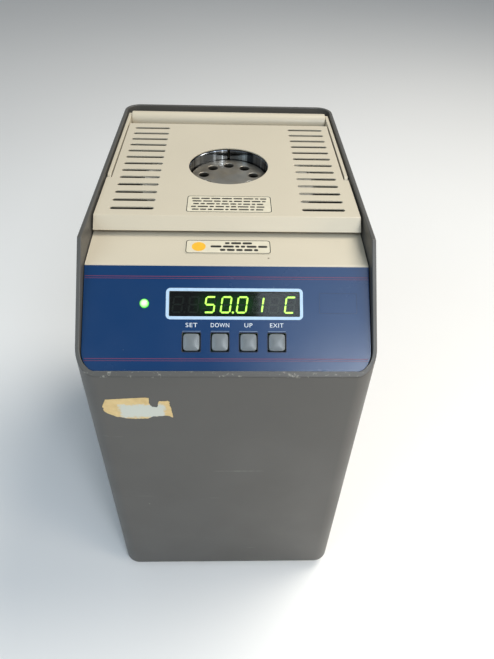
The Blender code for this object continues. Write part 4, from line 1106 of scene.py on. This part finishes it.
def make_serial():
    """Nine-way D connector with its sockets and two jack screws."""
    x, z = SERIAL_X, SERIAL_Z
    low, face, rim = REAR_FACE_Y - 0.008, REAR_FACE_Y, REAR_FACE_Y + 0.006

    def dee(half_x, half_z, radius, lean=0.14):
        """A rounded D outline, narrower at the bottom."""
        outline = rounded(half_x, half_z, radius, (x, z), 5)
        return [(x + (px - x) * (1 - lean * (0.5 - (pz - z) / (2 * half_z))), pz) for px, pz in outline]

    flange = solid(bar(rounded(0.0154, 0.0062, 0.0012, (x, z), 5), SEAT_Y, face + 0.0012, "Y"), "serial_flange")
    join(flange, bar(rounded(0.0095, 0.0054, 0.0008, (x, z), 3), low, face + 0.0008, "Y"))
    join(flange, bar(dee(0.0084, 0.004, 0.0018), face, rim, "Y"))
    cut(flange, bar(dee(0.0079, 0.0035, 0.0014), face - 0.004, rim + 0.01, "Y"))
    soften(flange, 0.00015)
    piece(flange, "plated_steel", "serial_connector")
    core = solid(bar(dee(0.0078, 0.0034, 0.0013), face - 0.0038, rim - 0.0004, "Y"), "serial_insulator")
    sockets = [
        circle(0.00055, 14, (x + (index - (count - 1) / 2) * 0.00277, z + up))
        for count, up in ((5, 0.00142), (4, -0.00142)) for index in range(count)
    ]
    cut(core, bars(sockets, rim - 0.003, rim + 0.01, "Y"))
    piece(core, "black_plastic")
    for side, name in SIDES:
        spot = facing_back(x + side * 0.0125, face + 0.0012, z)
        nut = solid(bar(circle(0.0027, 6), 0, 0.0042), f"jack_screw_{name}", spot)
        cut(nut, bar(circle(0.0013, 20), 0.0008, 0.02), spot)
        soften(nut, 0.0002)
        piece(nut, "plated_steel")


# ---- feet and the torn sticker

def make_feet():
    """Moulded rubber feet with a sunk screw."""
    height, radius, edge = 0.0102, 0.008, 0.0012
    profile = [(0, 0.0035), (0.0033, 0.0035), (0.0033, 0.0003), (0.0036, 0), (radius, 0)]
    profile += [(radius + edge * out, edge - edge * up) for up, out in bend(18, 91, 18)]
    profile += [(0.0106, height - 0.0008), (0.0106, height), (0, height)]
    for end in ("front", "rear"):
        for _, side in SIDES:
            low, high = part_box(f"foot_{end}_{side}")
            x, y, _ = (low + high) / 2
            foot = solid(revolve(profile[::-1], 48), f"{end}_{side}_foot", at(x, y, 0))
            piece(foot, "rubber", f"foot_{end}_{side}")
            screw_head(f"foot_screw_{end}_{side}", at(x, y, 0.0034, X=pi), 0.0026, 0.0012)


def make_sticker():
    """Remains of a paper sticker on the front wall, with torn edges."""
    corners = [
        (0.000, 0.012), (0.0026, 0.018), (0.0264, 0.0195), (0.0283, 0.019), (0.0279, 0.0142), (0.0296, 0.0106),
        (0.0325, 0.0108), (0.034, 0.016), (0.0398, 0.016), (0.0412, 0.001), (0.038, 0.0026), (0.03, 0.002),
        (0.0255, 0.0000), (0.016, 0.0000), (0.0075, 0.002), (0.001, 0.0062),
    ]
    outline = []
    for first, last in zip(corners, corners[1:] + corners[:1]):
        run = Vector(last) - Vector(first)
        steps = max(1, round(run.length / 0.0007))
        torn = 0.00035 if max(first[1], last[1]) < 0.0165 and steps > 1 else 0.00006
        side = Vector((-run.y, run.x)).normalized()
        for step in range(steps):
            point = Vector(first) + run * step / steps
            point += side * torn * noise.noise(Vector((point.x * 900, point.y * 900, 3.1))) * 2
            outline.append((point.x, point.y))
    place = at(-0.074, FRONT_Y, 0.205, Y=radians(-1.0), X=pi / 2)
    piece(solid(bar(outline, 0.00002, 0.00018), "torn_sticker", place), "grey_paint", finish="sticker_stock")


# ---- camera, light and floor

def stage():
    """Pale floor, soft light and the camera at the photograph's point of view."""
    floor = solid(bar(rounded(3.0, 3.0, 0.5), -0.02, 0), "floor")
    floor.data.materials.append(MATERIALS["floor"])

    scene = bpy.context.scene
    scene.view_settings.view_transform = "Standard"
    world = bpy.data.worlds.new("studio")
    world.use_nodes = True
    sky = world.node_tree.nodes["Background"]
    sky.inputs["Color"].default_value = (0.86, 0.93, 1.0, 1)
    sky.inputs["Strength"].default_value = 0.26
    scene.world = world

    for name, shape, place, target, size, power, colour in (
        ("key", "DISK", (0.75, 0.35, 1.55), (0, 0, 0.2), 0.9, 19, (1, 0.955, 0.87)),
        ("fill", "DISK", (-1.1, -0.9, 1.1), (0, 0, 0.15), 1.2, 7.5, (0.62, 0.82, 1.0)),
        ("wall", "SQUARE", (0.533, -0.72, 1.34), (0.533, -0.1, 0.27), 0.9, 4.6, (0.82, 0.91, 1.0)),
        ("window", "DISK", (0.36, -0.88, 1.02), (0.05, -0.12, 0.25), 0.28, 3.6, (0.86, 0.93, 1.0)),
        ("near", "DISK", (0.42, -0.36, 0.3), (0.05, -0.13, 0.15), 0.2, 0.75, (1, 0.84, 0.66)),
    ):
        lamp = bpy.data.lights.new(name, "AREA")
        lamp.shape, lamp.size, lamp.energy, lamp.color = shape, size, power, colour
        item = bpy.data.objects.new(name, lamp)
        item.location = place
        item.rotation_euler = (Vector(target) - Vector(place)).to_track_quat("-Z", "Y").to_euler()
        item.visible_camera = False
        scene.collection.objects.link(item)

    view = bpy.data.cameras.new("camera")
    view.lens = 29.805
    view.clip_start = 0.01
    camera = bpy.data.objects.new("camera", view)
    camera.location = (0.0012, -0.3396, 0.4721)
    camera.rotation_euler = (radians(47.4245), radians(-1.443), radians(-1.1667))
    scene.collection.objects.link(camera)
    scene.camera = camera


# ---- everything together

def dress_cad_nodes():
    """Give each CAD node that still shows the material of its slot."""
    slots = {part["node"]: part["material_slot"] for part in frame["record"]["subparts"]}
    for name, item in frame["nodes"].items():
        for holder in item.material_slots:
            holder.material = MATERIALS[slots[name]]


make_shell()
make_bezel()
make_film()
make_prints()
make_display()
make_lamp()
make_keys()
make_cover()
make_labels()
make_handle()
make_well()
make_rear_panel()
make_rating_label()
make_fan()
make_fan_guard()
make_mains_inlet()
make_fuse()
make_switch()
make_serial()
make_feet()
make_sticker()
dress_cad_nodes()
stage()
